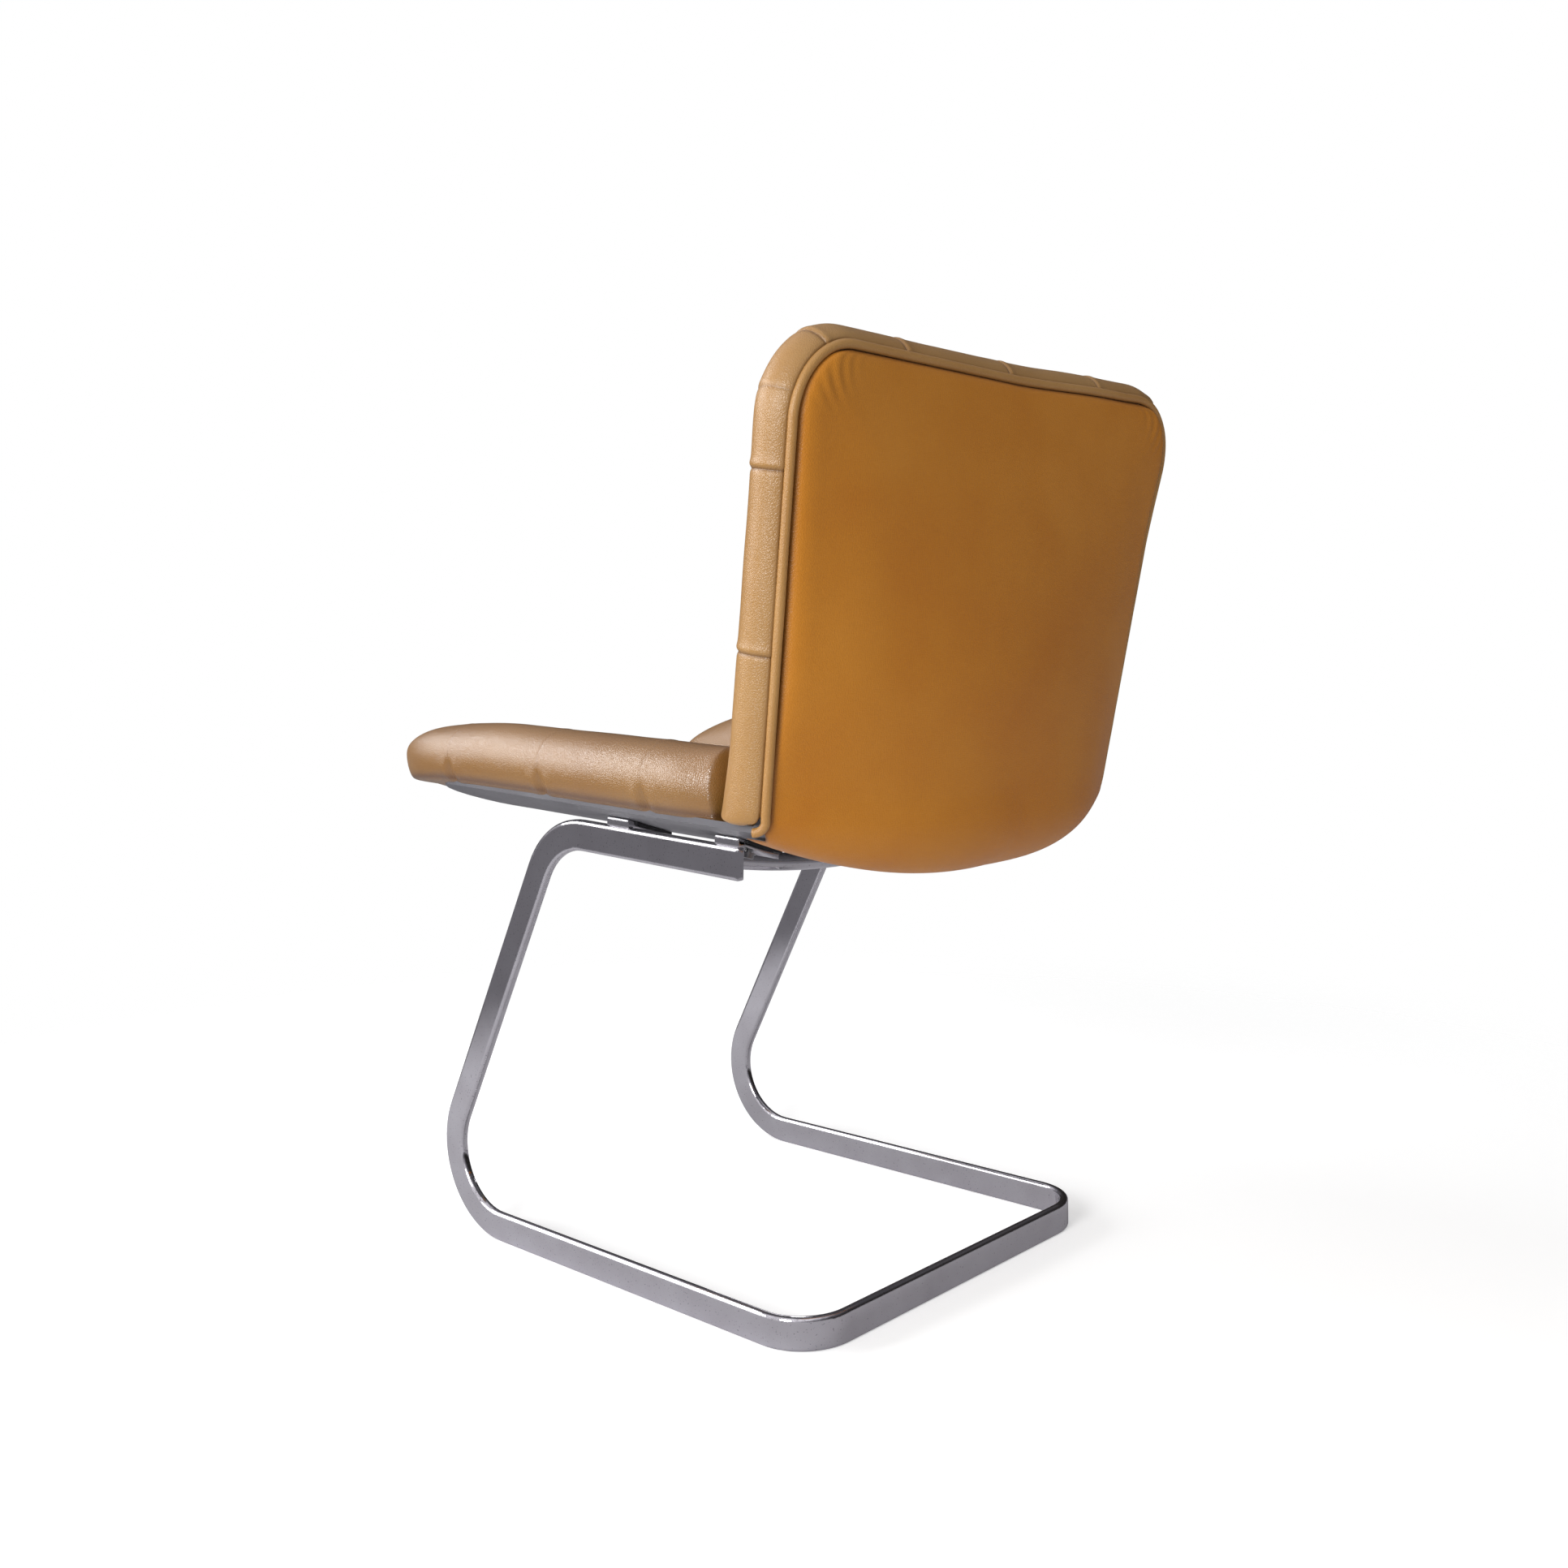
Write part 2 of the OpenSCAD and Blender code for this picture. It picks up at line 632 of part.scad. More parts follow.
seat_row = seat_front * seat_row_share;
seat_seams = [seat_row, 2 * seat_row, 3 * seat_row];
seat_cols = columns(seat_in_w);
seat_rows = concat([seat_rear], flanked([seat_row]), [1.5 * seat_row], flanked([2 * seat_row]),
    [2.5 * seat_row, 3 * seat_row - seam_half, 3 * seat_row],
    [for (a = [0, 30, 60, 90]) seat_front - seat_inner_r * (1 - sin(a))]);

// A point of the grid; the rows nearest the back bow with it
function seat_cell(i, j, drop) =
    let (
        q = seat_rows[j],
        x = seat_cols[i] * eased_w(seat_in_w, seat_front - q, seat_inner_r) / seat_in_w,
        fade = max(0, 1 - (q - seat_rear) / (seat_row - seam_half - seat_rear))
    ) [x, q - back_swell * dish(x / seat_half_w) * fade, crown(x, q) - drop];
seat_edge = perimeter(len(seat_cols) - 1, len(seat_rows) - 1,
    [for (q = seat_rows) corner_turn(seat_front - q, seat_inner_r)]);
function seat_ring(e, f, inset) =
    let (
        c = seat_cell(e[0], e[1], 0),
        half = (c.z - in_shell(c.x)) / 2,
        reach = [seat_roll_x * cos(e[2]), (at_low_end(e) ? seat_roll_rear : seat_roll_front) * sin(e[2])],
        fullness = nose_low_share * max(0, sin(e[2])),
        out = roll_out(e, f, reach, inset, seat_cols, seat_rows, seat_seams, fullness)
    ) [c.x + out.x, c.y + out.y, c.z - half + (half - inset) * sin(f)];

function to_seat(p) = [p.x, -p.y, rim_z(-p.y) + p.z];
function seat_groove(i, j) = max(groove(seat_cols[i], across_seams), groove(seat_rows[j], seat_seams));
function seat_top(inset) = [for (j = [0:len(seat_rows) - 1]) [for (i = [0:len(seat_cols) - 1])
    to_seat(seat_cell(i, j, inset + seat_groove(i, j)))]];
function seat_rings(inset) =
    [for (f = roll_angles(roll_end)) [for (e = seat_edge) to_seat(seat_ring(e, f, inset))]];
function seat_low() = [for (j = [0:len(seat_rows) - 1]) [for (i = [0:len(seat_cols) - 1])
    let (c = seat_cell(i, j, 0)) to_seat([c.x, c.y, in_shell(c.x)])]];

module seat_foam() {
    color("#e8dcae") difference() {
        in_chair() cushion(
            seat_top(foam_inset), seat_rings(foam_inset), seat_low(), seat_edge, flipped = true);
        at_screws() cylinder(h = shell_wall + 2 * flange_t + fit_gap, d = flange_d + 4 * fit_gap);
    }
}

module seat_cover() {
    color("#b98a4e") in_chair() cover(
        seat_top(0), seat_rings(0), seat_top(leather_t), seat_rings(leather_t), seat_edge,
        flipped = true);
}

// BACK CUSHION, in its own measures: across, up the recline, and towards the sitter

back_roll_x = 27.5;
back_roll_top = 30;
back_roll_low = 8;
back_inner_r = 35;
back_roll_end = -38;
back_end_dip = 4;
back_foot_l = 22;
back_foot_dip = 18;
back_low_angle = 53;
back_in_top = back_l + top_bulge - back_roll_top;

function swell(l) = back_swell * (1 - l / back_l);
function back_in_w(l) = back_half_w(l) + back_bulge - back_roll_x;
function back_front(x, l) = back_pad_t + back_pad_swell * (1 - l / back_l)
    - swell(l) * dish(x / back_half_w(l));
function back_slope(x, l) = 2 * swell(l) * x / (back_half_w(l) * back_half_w(l));
function in_back(x, l) = skin_t + shell_wall * norm([1, back_slope(x, l)]) + 2 * fit_gap
    - swell(l) * dish(x / back_half_w(l));

back_row = back_in_top * back_row_share;
back_seams = [back_row, 2 * back_row];
back_cols = columns(back_in_w(0));
back_rows = concat(
    [back_foot_l, back_row / 2], flanked([back_row]), [1.5 * back_row], flanked([2 * back_row]),
    [for (a = [0, 20, 45, 70, 90]) back_in_top - back_inner_r * (1 - sin(a))]);

// The middle columns stay on their seams; the outer ones follow the side
function back_x(x, w) =
    let (fixed = patch + seam_half, full = back_in_w(0))
    w < fixed + seam_half ? x * w / full
    : abs(x) <= fixed ? x
    : sign(x) * (fixed + (abs(x) - fixed) * (w - fixed) / (full - fixed));
function back_cell(i, j, drop) =
    let (
        q = back_rows[j],
        x = back_x(back_cols[i], eased_w(back_in_w(q), back_in_top - q, back_inner_r)),
        fade = max(0, 1 - (q - back_foot_l) / (back_row - seam_half - back_foot_l)),
        l = q - back_foot_dip * dish(x / back_half_w(0)) * fade
    ) [x, l, back_front(x, l) - drop];
back_edge = perimeter(len(back_cols) - 1, len(back_rows) - 1,
    [for (q = back_rows) corner_turn(back_in_top - q, back_inner_r)]);
function back_ring(e, k, inset) =
    let (
        c = back_cell(e[0], e[1], 0),
        f = roll_angles(back_roll_end - back_end_dip * max(0, sin(e[2])))[k],
        half = at_low_end(e) ? (c.z - in_back(c.x, c.y)) / 2 : c.z / (1 + sin(back_low_angle)),
        reach = [back_roll_x * cos(e[2]), (at_low_end(e) ? back_roll_low : back_roll_top) * sin(e[2])],
        out = roll_out(e, f, reach, inset, back_cols, back_rows, back_seams)
    ) [c.x + out.x, c.y + out.y, c.z - half + (half - inset) * sin(f)];

function to_back(p) = let (q = foot + back_dir * p.y + sit_dir * p.z) [p.x, q.x, q.y];
function back_groove(i, j) = max(groove(back_cols[i], across_seams), groove(back_rows[j], back_seams));
function back_face(inset) = [for (j = [0:len(back_rows) - 1]) [for (i = [0:len(back_cols) - 1])
    to_back(back_cell(i, j, inset + back_groove(i, j)))]];
function back_rings(inset, count) =
    [for (k = [0:count - 1]) [for (e = back_edge) to_back(back_ring(e, k, inset))]];

// The foam's last ring lies in front of the shell's rim
function back_rim_ring() = [for (e = back_edge)
    let (
        c = back_cell(e[0], e[1], 0),
        x = c.x + (back_roll_x - back_bulge) * cos(e[2]),
        l = c.y + (back_roll_top - top_bulge) * max(0, sin(e[2]))
    ) to_back([x, l, in_back(x, min(l, back_l))])];
function back_low() = [for (j = [0:len(back_rows) - 1]) [for (i = [0:len(back_cols) - 1])
    let (c = back_cell(i, j, 0)) to_back([c.x, c.y, in_back(c.x, c.y)])]];

module back_foam() {
    color("#e8dcae") in_chair() cushion(back_face(foam_inset),
        concat(back_rings(foam_inset, ring_count - 1), [back_rim_ring()]), back_low(), back_edge);
}

module back_cover() {
    color("#b98a4e") in_chair() cover(
        back_face(0), back_rings(0, ring_count),
        back_face(leather_t), back_rings(leather_t, ring_count), back_edge);
}

// WELT: a piped cord round the rear panel, its ends turned forward at the foot

welt_sides = 8;
curl_r = 9;
curl_out = welt_r + 2 * fit_gap;
function welt_x(l) = back_half_w(l) + welt_out;
welt_bend_r = top_corner_r + welt_out;
welt_steps = 7;
welt_bend_l = back_l - top_corner_r;
welt_side = concat(
    [for (a = [20:14:90]) [welt_x(0) + curl_out * (1 - sin(a)), curl_r * (1 - cos(a)),
        welt_h + curl_r * (1 - sin(a))]],
    [for (i = [1:welt_steps - 1]) let (l = welt_bend_l * i / welt_steps) [welt_x(l), l, welt_h]],
    [for (a = [0:9:81])
        [welt_x(welt_bend_l) - welt_bend_r * (1 - cos(a)), welt_bend_l + welt_bend_r * sin(a), welt_h]]);
welt_top = [for (t = steps(2 * welt_steps))
    [(1 - 2 * t) * (top_half_w - top_corner_r), back_l + welt_out, welt_h]];
welt_path = [for (p = concat(welt_side, welt_top,
    [for (i = [len(welt_side) - 1:-1:0]) [-welt_side[i].x, welt_side[i].y, welt_side[i].z]])) to_back(p)];

module tube(path, r, sides) {
    n = len(path);
    rings = [for (i = [0:n - 1])
        let (
            way = path[min(n - 1, i + 1)] - path[max(0, i - 1)],
            w = way / norm(way),
            sit = [0, sit_dir.x, sit_dir.y],
            s0 = sit - w * (sit * w),
            s = s0 / norm(s0),
            t = cross(w, s)
        ) [for (k = [0:sides - 1]) path[i] + (s * cos(360 * k / sides) + t * sin(360 * k / sides)) * r]];
    faces = concat(
        [for (i = [0:n - 2], k = [0:sides - 1]) each let (
            p = i * sides + k,
            q = i * sides + (k + 1) % sides)
            [[p, p + sides, q + sides], [p, q + sides, q]]],
        [[for (k = [0:sides - 1]) k]],
        [[for (k = [sides - 1:-1:0]) (n - 1) * sides + k]]);
    polyhedron([for (r = rings) each r], faces, convexity = 10);
}

module back_welt() {
    color("#a9763a") in_chair() tube(welt_path, welt_r, welt_sides);
}

frame_bar();
cross_bar();
front_left_bracket();
front_right_bracket();
rear_left_bracket();
rear_right_bracket();
front_left_pad();
front_right_pad();
rear_left_pad();
rear_right_pad();
shell_screws();
shell_washers();
shell_inserts();
seat_shell();
seat_foam();
rear_felt();
seat_cover();
rear_panel();
back_foam();
back_cover();
back_welt();
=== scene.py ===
import bmesh
import bpy
import json
from math import acos, asin, atan2, cos, degrees, exp, hypot, pi, radians, sin, sqrt, tan
from mathutils import Matrix, Vector, noise

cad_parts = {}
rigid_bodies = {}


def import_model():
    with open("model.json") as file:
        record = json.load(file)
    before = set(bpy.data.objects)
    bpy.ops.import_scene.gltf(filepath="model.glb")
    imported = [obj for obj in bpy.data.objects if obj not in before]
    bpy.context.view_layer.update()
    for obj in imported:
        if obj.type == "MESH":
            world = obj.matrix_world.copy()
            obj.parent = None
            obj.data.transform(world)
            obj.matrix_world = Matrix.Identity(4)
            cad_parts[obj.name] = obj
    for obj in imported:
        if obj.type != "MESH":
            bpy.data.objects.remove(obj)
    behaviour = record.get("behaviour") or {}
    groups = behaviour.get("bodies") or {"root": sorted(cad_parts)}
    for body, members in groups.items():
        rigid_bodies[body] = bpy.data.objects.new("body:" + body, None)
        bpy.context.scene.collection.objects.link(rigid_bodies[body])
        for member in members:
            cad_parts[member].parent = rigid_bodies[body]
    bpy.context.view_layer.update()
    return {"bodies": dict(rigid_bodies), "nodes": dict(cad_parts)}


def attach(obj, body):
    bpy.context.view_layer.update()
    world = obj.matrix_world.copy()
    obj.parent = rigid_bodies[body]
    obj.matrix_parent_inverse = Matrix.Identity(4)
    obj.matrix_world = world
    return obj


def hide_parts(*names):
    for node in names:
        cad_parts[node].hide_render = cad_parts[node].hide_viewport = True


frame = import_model()
body = list(frame["bodies"])[0]
print("frame loaded")

# The chair's own measures in millimetres and degrees, as the solids have them
chair = {
    "shift": 216.861,  # from the rear rail's outer face to the middle of the floor plan
    "pitch": 3.6,
    "recline": 10.4,
    "foot": (-3.0, 391.49),  # where the back meets the seat, seen from the side
    "backLength": 338.0,
    "seatHalf": 217.5,
    "topHalf": 237.0,
    "shellReach": 428.0,
    "shellWall": 5.0,
    "shellGap": 0.6,
    "dish": 44.0,
    "swell": 52.0,
    "skin": 5.0,  # leather and felt over the shell's rear
    "topCorner": 52.0,
    "patch": 125.06,
    "seamHalf": 12,
}


# Small tools

def linearColor(hexText):
    def one(c):
        return c / 12.92 if c <= 0.04045 else ((c + 0.055) / 1.055) ** 2.4
    return tuple(one(int(hexText[i:i + 2], 16) / 255) for i in (1, 3, 5)) + (1.0,)


def smooth(t):
    t = min(1.0, max(0.0, t))
    return t * t * (3 - 2 * t)


def along(value, start, end):
    return max(0.0, (value - start) / (end - start))


def bell(distance, width):
    return exp(-(distance / width) ** 2)


def addNode(tree, kind, settings=None, links=None):
    node = tree.nodes.new(kind)
    for key, value in (settings or {}).items():
        if key == "stops":
            elements = node.color_ramp.elements
            while len(elements) < len(value):
                elements.new(0.5)
            for element, (place, color) in zip(elements, value):
                element.position = place
                element.color = linearColor(color)
        elif isinstance(key, int) or key in node.inputs:
            node.inputs[key].default_value = value
        else:
            setattr(node, key, value)
    for key, source in (links or {}).items():
        tree.links.new(source, node.inputs[key])
    return node


def meshObject(name, points, faces):
    mesh = bpy.data.meshes.new(name)
    mesh.from_pydata([tuple(c / 1000 for c in p) for p in points], [], faces)
    mesh.validate()
    mesh.update()
    for polygon in mesh.polygons:
        polygon.use_smooth = True
    piece = bpy.data.objects.new(name, mesh)
    bpy.context.scene.collection.objects.link(piece)
    return piece


def addSubdivision(piece, levels):
    modifier = piece.modifiers.new("smoother surface", "SUBSURF")
    modifier.levels = levels
    modifier.render_levels = levels


def storeSeamsAndShade(piece, values):
    # One darkening value per point: the stitched seam lines, and painted shade along the hems and beside
    # the welt
    layer = piece.data.attributes.new("seam", "FLOAT", "POINT")
    layer.data.foreach_set("value", values)


def fitNormals(piece):
    mesh = bmesh.new()
    mesh.from_mesh(piece.data)
    bmesh.ops.recalc_face_normals(mesh, faces=mesh.faces)
    mesh.to_mesh(piece.data)
    mesh.free()


# The chair's geometry, which the seat, back, panel and welt share

seatSlope = tan(radians(chair["pitch"]))
backUp = (sin(radians(chair["recline"])), cos(radians(chair["recline"])))
toSitter = (-backUp[1], backUp[0])
acrossSeams = (-chair["patch"], 0.0, chair["patch"])


def rimHeight(y):
    return chair["foot"][1] + (chair["foot"][0] - y) * seatSlope


def dished(share):
    return 1 - share * share


def backHalf(length):
    return chair["seatHalf"] + (chair["topHalf"] - chair["seatHalf"]) * length / chair["backLength"]


def swellAt(length):
    return chair["swell"] * (1 - length / chair["backLength"])


def easedWidth(width, depth, radius):
    if depth >= radius:
        return width
    return width - radius + sqrt(max(0.0, radius * radius - (radius - depth) ** 2))


def cornerTurn(depth, radius):
    return 0.0 if depth >= radius else degrees(asin(min(1.0, (radius - depth) / radius)))


def fromSeat(p):
    return (p[0], chair["shift"] - p[1], rimHeight(-p[1]) + p[2])


def fromBack(p):
    y = chair["foot"][0] + backUp[0] * p[1] + toSitter[0] * p[2]
    z = chair["foot"][1] + backUp[1] * p[1] + toSitter[1] * p[2]
    return (p[0], chair["shift"] + y, z)


def inShell(x):
    # Height above the seat's plane of the shell's hollow side
    slope = 2 * chair["dish"] * x / chair["seatHalf"] ** 2
    wall = chair["shellWall"] * hypot(1, slope)
    return wall + chair["shellGap"] - chair["dish"] * dished(x / chair["seatHalf"])


def inBack(x, length):
    # The same at the back, toward the sitter from the back's plane
    half = backHalf(length)
    slope = 2 * swellAt(length) * x / half ** 2
    wall = chair["skin"] + chair["shellWall"] * hypot(1, slope)
    return wall + chair["shellGap"] - swellAt(length) * dished(x / half)


# Sewing: both cushions are a grid of patches, rings that roll over the edge, and a grid below

sewing = {
    "pitch": 9,
    "besideSeam": (-9, -5, -2.2, -0.8, 0, 0.8, 2.2, 4, 6.5, 10),  # closer points at a seam
    "cornerFan": 5,
    "bandAt": 3.8,  # the turned-in leather lies on one side of the stitches
    "bandWidth": 2.4,
    "bandHeight": 1.0,
    "grooveWidth": 1.1,
    "grooveDepth": 1.3,
    "lineWidth": 0.9,
    "heldWidth": 1.5,
    "hemAngle": -30,
    "faceReach": 40,
    "puffReach": 45,
    "wave": 0.5,
    "waveScale": 17,
    "fineWave": 0.2,
    "fineScale": 50,
}
clearOfSeams = 99.0


def stations(start, end, seams):
    marks = {round(start, 3), round(end, 3)}
    for seam in seams:
        for offset in sewing["besideSeam"]:
            if start < seam + offset < end:
                marks.add(round(seam + offset, 3))
    marks = sorted(marks)
    filled = [marks[0]]
    for a, b in zip(marks, marks[1:]):
        count = max(1, round((b - a) / sewing["pitch"]))
        filled += [a + (b - a) * (i + 1) / count for i in range(count)]
    return filled


def perimeter(nx, ny, turns):
    # Grid places round the edge, each with the way it faces in degrees from the sitter's left
    fan = sewing["cornerFan"]
    edge = [(nx, j, turns[j]) for j in range(ny + 1)]
    edge += [(i, ny, 90.0) for i in range(nx - 1, 0, -1)]
    edge += [(0, j, 180 - turns[j]) for j in range(ny, -1, -1)]
    edge += [(0, 0, 180 + 90 * k / fan) for k in range(1, fan + 1)]
    edge += [(i, 0, 270.0) for i in range(1, nx)]
    edge += [(nx, 0, 270 + 90 * k / fan) for k in range(fan)]
    return edge


def cushionFaces(cols, rows, edge, ringCount):
    faces = []
    m = len(edge)
    ringBase = cols * rows
    lowBase = ringBase + ringCount * m
    for j in range(rows - 1):
        for i in range(cols - 1):
            q = j * cols + i
            faces.append((q, q + 1, q + cols + 1, q + cols))
            faces.append((lowBase + q, lowBase + q + cols, lowBase + q + cols + 1, lowBase + q + 1))
    for k in range(m):
        n = (k + 1) % m
        p = edge[k][1] * cols + edge[k][0]
        q = edge[n][1] * cols + edge[n][0]
        r, s = ringBase + k, ringBase + n
        faces.append((p, r, s) if p == q else (p, r, s, q))
        for ring in range(ringCount - 1):
            faces.append((r + ring * m, r + ring * m + m, s + ring * m + m, s + ring * m))
        r, s = r + (ringCount - 1) * m, s + (ringCount - 1) * m
        faces.append((lowBase + p, s, r) if p == q else (lowBase + p, lowBase + q, s, r))
    return faces


def fromSeam(value, seams):
    # Signed distance to the nearest seam
    return min((value - s for s in seams), key=abs)


def facesSide(way):
    return abs(cos(radians(way))) > 0.9 and not 180 < way < 360


def seamRelief(d):
    # A stitched line with the turned-in leather standing up along one side of it
    band = sewing["bandHeight"] * bell(d - sewing["bandAt"], sewing["bandWidth"])
    return band - sewing["grooveDepth"] * bell(d, sewing["grooveWidth"])


class Sewn:
    # Points of a sewn case, each with its seams' distances, how it may move and how much painted shade it
    # takes
    def __init__(self):
        self.points, self.seams, self.held, self.face = [], [], [], []
        self.strength, self.dark, self.hidden = [], [], []

    def add(self, point, acrossAt=clearOfSeams, alongAt=clearOfSeams, held=0.0, face=0.0,
            strength=0.0, dark=0.0, hidden=False):
        near = min(abs(acrossAt), abs(alongAt))
        self.points.append(point)
        self.seams.append((acrossAt, alongAt))
        self.held.append(max(held, face * bell(near, sewing["heldWidth"])))
        self.face.append(face)
        self.strength.append(strength)
        self.dark.append(dark)
        self.hidden.append(hidden)


filling = {
    "frames": 20,
    "cloth": {
        "quality": 6,
        "mass": 0.5,
        "tension_stiffness": 40,
        "compression_stiffness": 30,
        "shear_stiffness": 20,
        "bending_stiffness": 6,
        "vertex_group_mass": "held",
        "pin_stiffness": 1,
        "use_pressure": True,
    },
}


def fill(piece, held, pressure, caps):
    # The sewn case is blown up from inside like a tight cushion, with its seams held
    rest = [v.co.copy() for v in piece.data.vertices]
    group = piece.vertex_groups.new(name="held")
    for index, weight in enumerate(held):
        if weight > 0.01:
            group.add([index], min(1.0, weight), "REPLACE")
    cloth = piece.modifiers.new("cloth", "CLOTH")
    for key, value in filling["cloth"].items():
        setattr(cloth.settings, key, value)
    cloth.settings.uniform_pressure_force = pressure
    cloth.settings.effector_weights.gravity = 0
    cloth.collision_settings.use_collision = False
    cloth.point_cache.frame_start = 1
    cloth.point_cache.frame_end = filling["frames"]
    scene = bpy.context.scene
    for step in range(1, filling["frames"] + 1):
        scene.frame_set(step)
    graph = bpy.context.evaluated_depsgraph_get()
    blown = [v.co.copy() for v in piece.evaluated_get(graph).data.vertices]
    piece.modifiers.remove(cloth)
    scene.frame_set(1)
    for vertex, start, end, cap in zip(piece.data.vertices, rest, blown, caps):
        move = end - start
        if move.length > cap / 1000:
            move *= cap / 1000 / move.length
        vertex.co = start + move
    print("filled", piece.name)


def finishCushion(piece, sewn, settings):
    # Filling first, then the puff of the patches, the seams and the leather's slight unevenness
    fitNormals(piece)
    caps = [settings["rollCap"] + (settings["faceCap"] - settings["rollCap"]) * f for f in sewn.face]
    fill(piece, sewn.held, settings["pressure"], caps)
    mesh = piece.data
    mesh.update()
    normals = [v.normal.copy() for v in mesh.vertices]
    seamLinesAndShade = []
    for index, vertex in enumerate(mesh.vertices):
        acrossAt, alongAt = sewn.seams[index]
        near = min(abs(acrossAt), abs(alongAt))
        line = bell(near, sewing["lineWidth"])
        # Darkening per point: the seam line, or the painted shade where the leather rolls under, whichever
        # is darker
        seamLinesAndShade.append(max(line * sewn.strength[index], sewn.dark[index]))
        if sewn.hidden[index]:
            continue
        puff = settings["puff"] * smooth(near / sewing["puffReach"]) * sewn.face[index]
        relief = (seamRelief(acrossAt) + seamRelief(alongAt)) * sewn.strength[index]
        wave = sewing["wave"] * noise.noise(vertex.co * sewing["waveScale"])
        wave += sewing["fineWave"] * noise.noise(vertex.co * sewing["fineScale"])
        vertex.co += normals[index] * (puff + relief + wave) / 1000
    storeSeamsAndShade(piece, seamLinesAndShade)
    mesh.update()
    addSubdivision(piece, 2)


# Seat cushion: patches sewn edge to edge, drawn round the sides and the nose

seat = {
    "crown": 57.0,
    "hollow": 52.0,
    "hollowShare": 0.45,  # flat middle, as a share of the half width
    "noseHollowShare": 0.7,
    "narrowingShare": 0.4,  # from here to the nose the sides' slopes grow narrower
    "noseFall": 10.0,
    "fallShare": 0.72,
    "innerHalf": 194.5,
    "front": 419.0,
    "rear": 71.4,
    "innerRadius": 24.0,
    "seams": (125.03, 250.06, 375.09),
    "seamAtEdge": 0.3,
    "seamInside": 0.5,
    "insideReach": 30,
    "cornerAngles": (18, 36, 54, 72, 90),
    "rollAngles": (80, 68, 56, 44, 32, 20, 8, -3, -12, -20, -27, -33, -40),
    "sideRoll": 33.0,
    "noseRoll": 75.0,
    "rearRoll": 10.0,
    "rollSeam": 0.16,
    "under": 0.75,
    "noseUnder": 0.5,  # the nose keeps its fullness further under
    "noseSink": 0.42,
    "hemIn": 0.68,
    "hemInNose": 0.17,
    "hemUp": 0.12,
    "hemShade": 8,
    "tuck": 7,  # drawn in beside the back
    "tuckReach": 26,
    "pucker": 3.0,
    "puckerFrom": 2,
    "puckerTurn": 34,
    "puckerReach": 15,
    "puckerWave": 3.4,
    "puff": 2.0,
    "pressure": 3.0,
    "faceCap": 4.0,
    "rollCap": 1.2,
}


def seatCell(x0, q):
    x = x0 * easedWidth(seat["innerHalf"], seat["front"] - q, seat["innerRadius"]) / seat["innerHalf"]
    fade = smooth(1 - (q - seat["rear"]) / (seat["seams"][0] - chair["seamHalf"] - seat["rear"]))
    nose = smooth(along(q, seat["front"] * seat["narrowingShare"], seat["front"]))
    flat = seat["hollowShare"] + (seat["noseHollowShare"] - seat["hollowShare"]) * nose
    rise = smooth(along(abs(x), seat["innerHalf"] * flat, seat["innerHalf"]))
    fall = seat["noseFall"] * along(q, seat["front"] * seat["fallShare"], seat["front"]) ** 2
    level = seat["crown"] - seat["hollow"] * (1 - rise) - fall
    return x, q - chair["swell"] * dished(x / chair["seatHalf"]) * fade, level


def addSeatRing(sewn, f, cell, way, q, acrossAt, alongAt):
    # One point of a ring at f degrees from level, with f None for the hem over the shell's rim
    x, y, v = cell
    low = inShell(x)
    half = (v - low) / 2
    atRear = 180 < way < 360
    atNose = max(0.0, sin(radians(way)))
    reachX = seat["sideRoll"] * cos(radians(way))
    reachY = (seat["rearRoll"] if atRear else seat["noseRoll"]) * sin(radians(way))
    if f is None:
        k = seat["hemIn"] + seat["hemInNose"] * atNose
        level = low + half * seat["hemUp"] * (1 - atNose)
        sewn.add(fromSeat((x + reachX * k, y + reachY * k, level)), held=1.0)
        return
    tuck = seat["tuck"] * smooth(1 - (q - seat["rear"]) / seat["tuckReach"]) * abs(cos(radians(way)))
    near = min(abs(acrossAt), abs(alongAt))
    pleats = bell(near, seat["puckerReach"]) * cos(near / seat["puckerWave"])
    fold = seat["pucker"] * smooth((seat["puckerFrom"] - f) / seat["puckerTurn"]) * pleats
    power = 1.0 if f > 0 else seat["under"] - seat["noseUnder"] * atNose
    k = cos(radians(f)) ** power * (1 - (fold + tuck) / hypot(reachX, reachY))
    sink = 1 + (seat["noseSink"] * atNose if f < 0 else 0)
    level = v - half + half * sin(radians(f)) * sink
    # Painted shade: below the hem angle the leather is darkened where it rolls under toward the shell's rim
    sewn.add(fromSeat((x + reachX * k, y + reachY * k, level)), acrossAt, alongAt,
             held=1.0 if f < sewing["hemAngle"] else 0.0, strength=seat["rollSeam"],
             dark=smooth((sewing["hemAngle"] - f) / seat["hemShade"]))


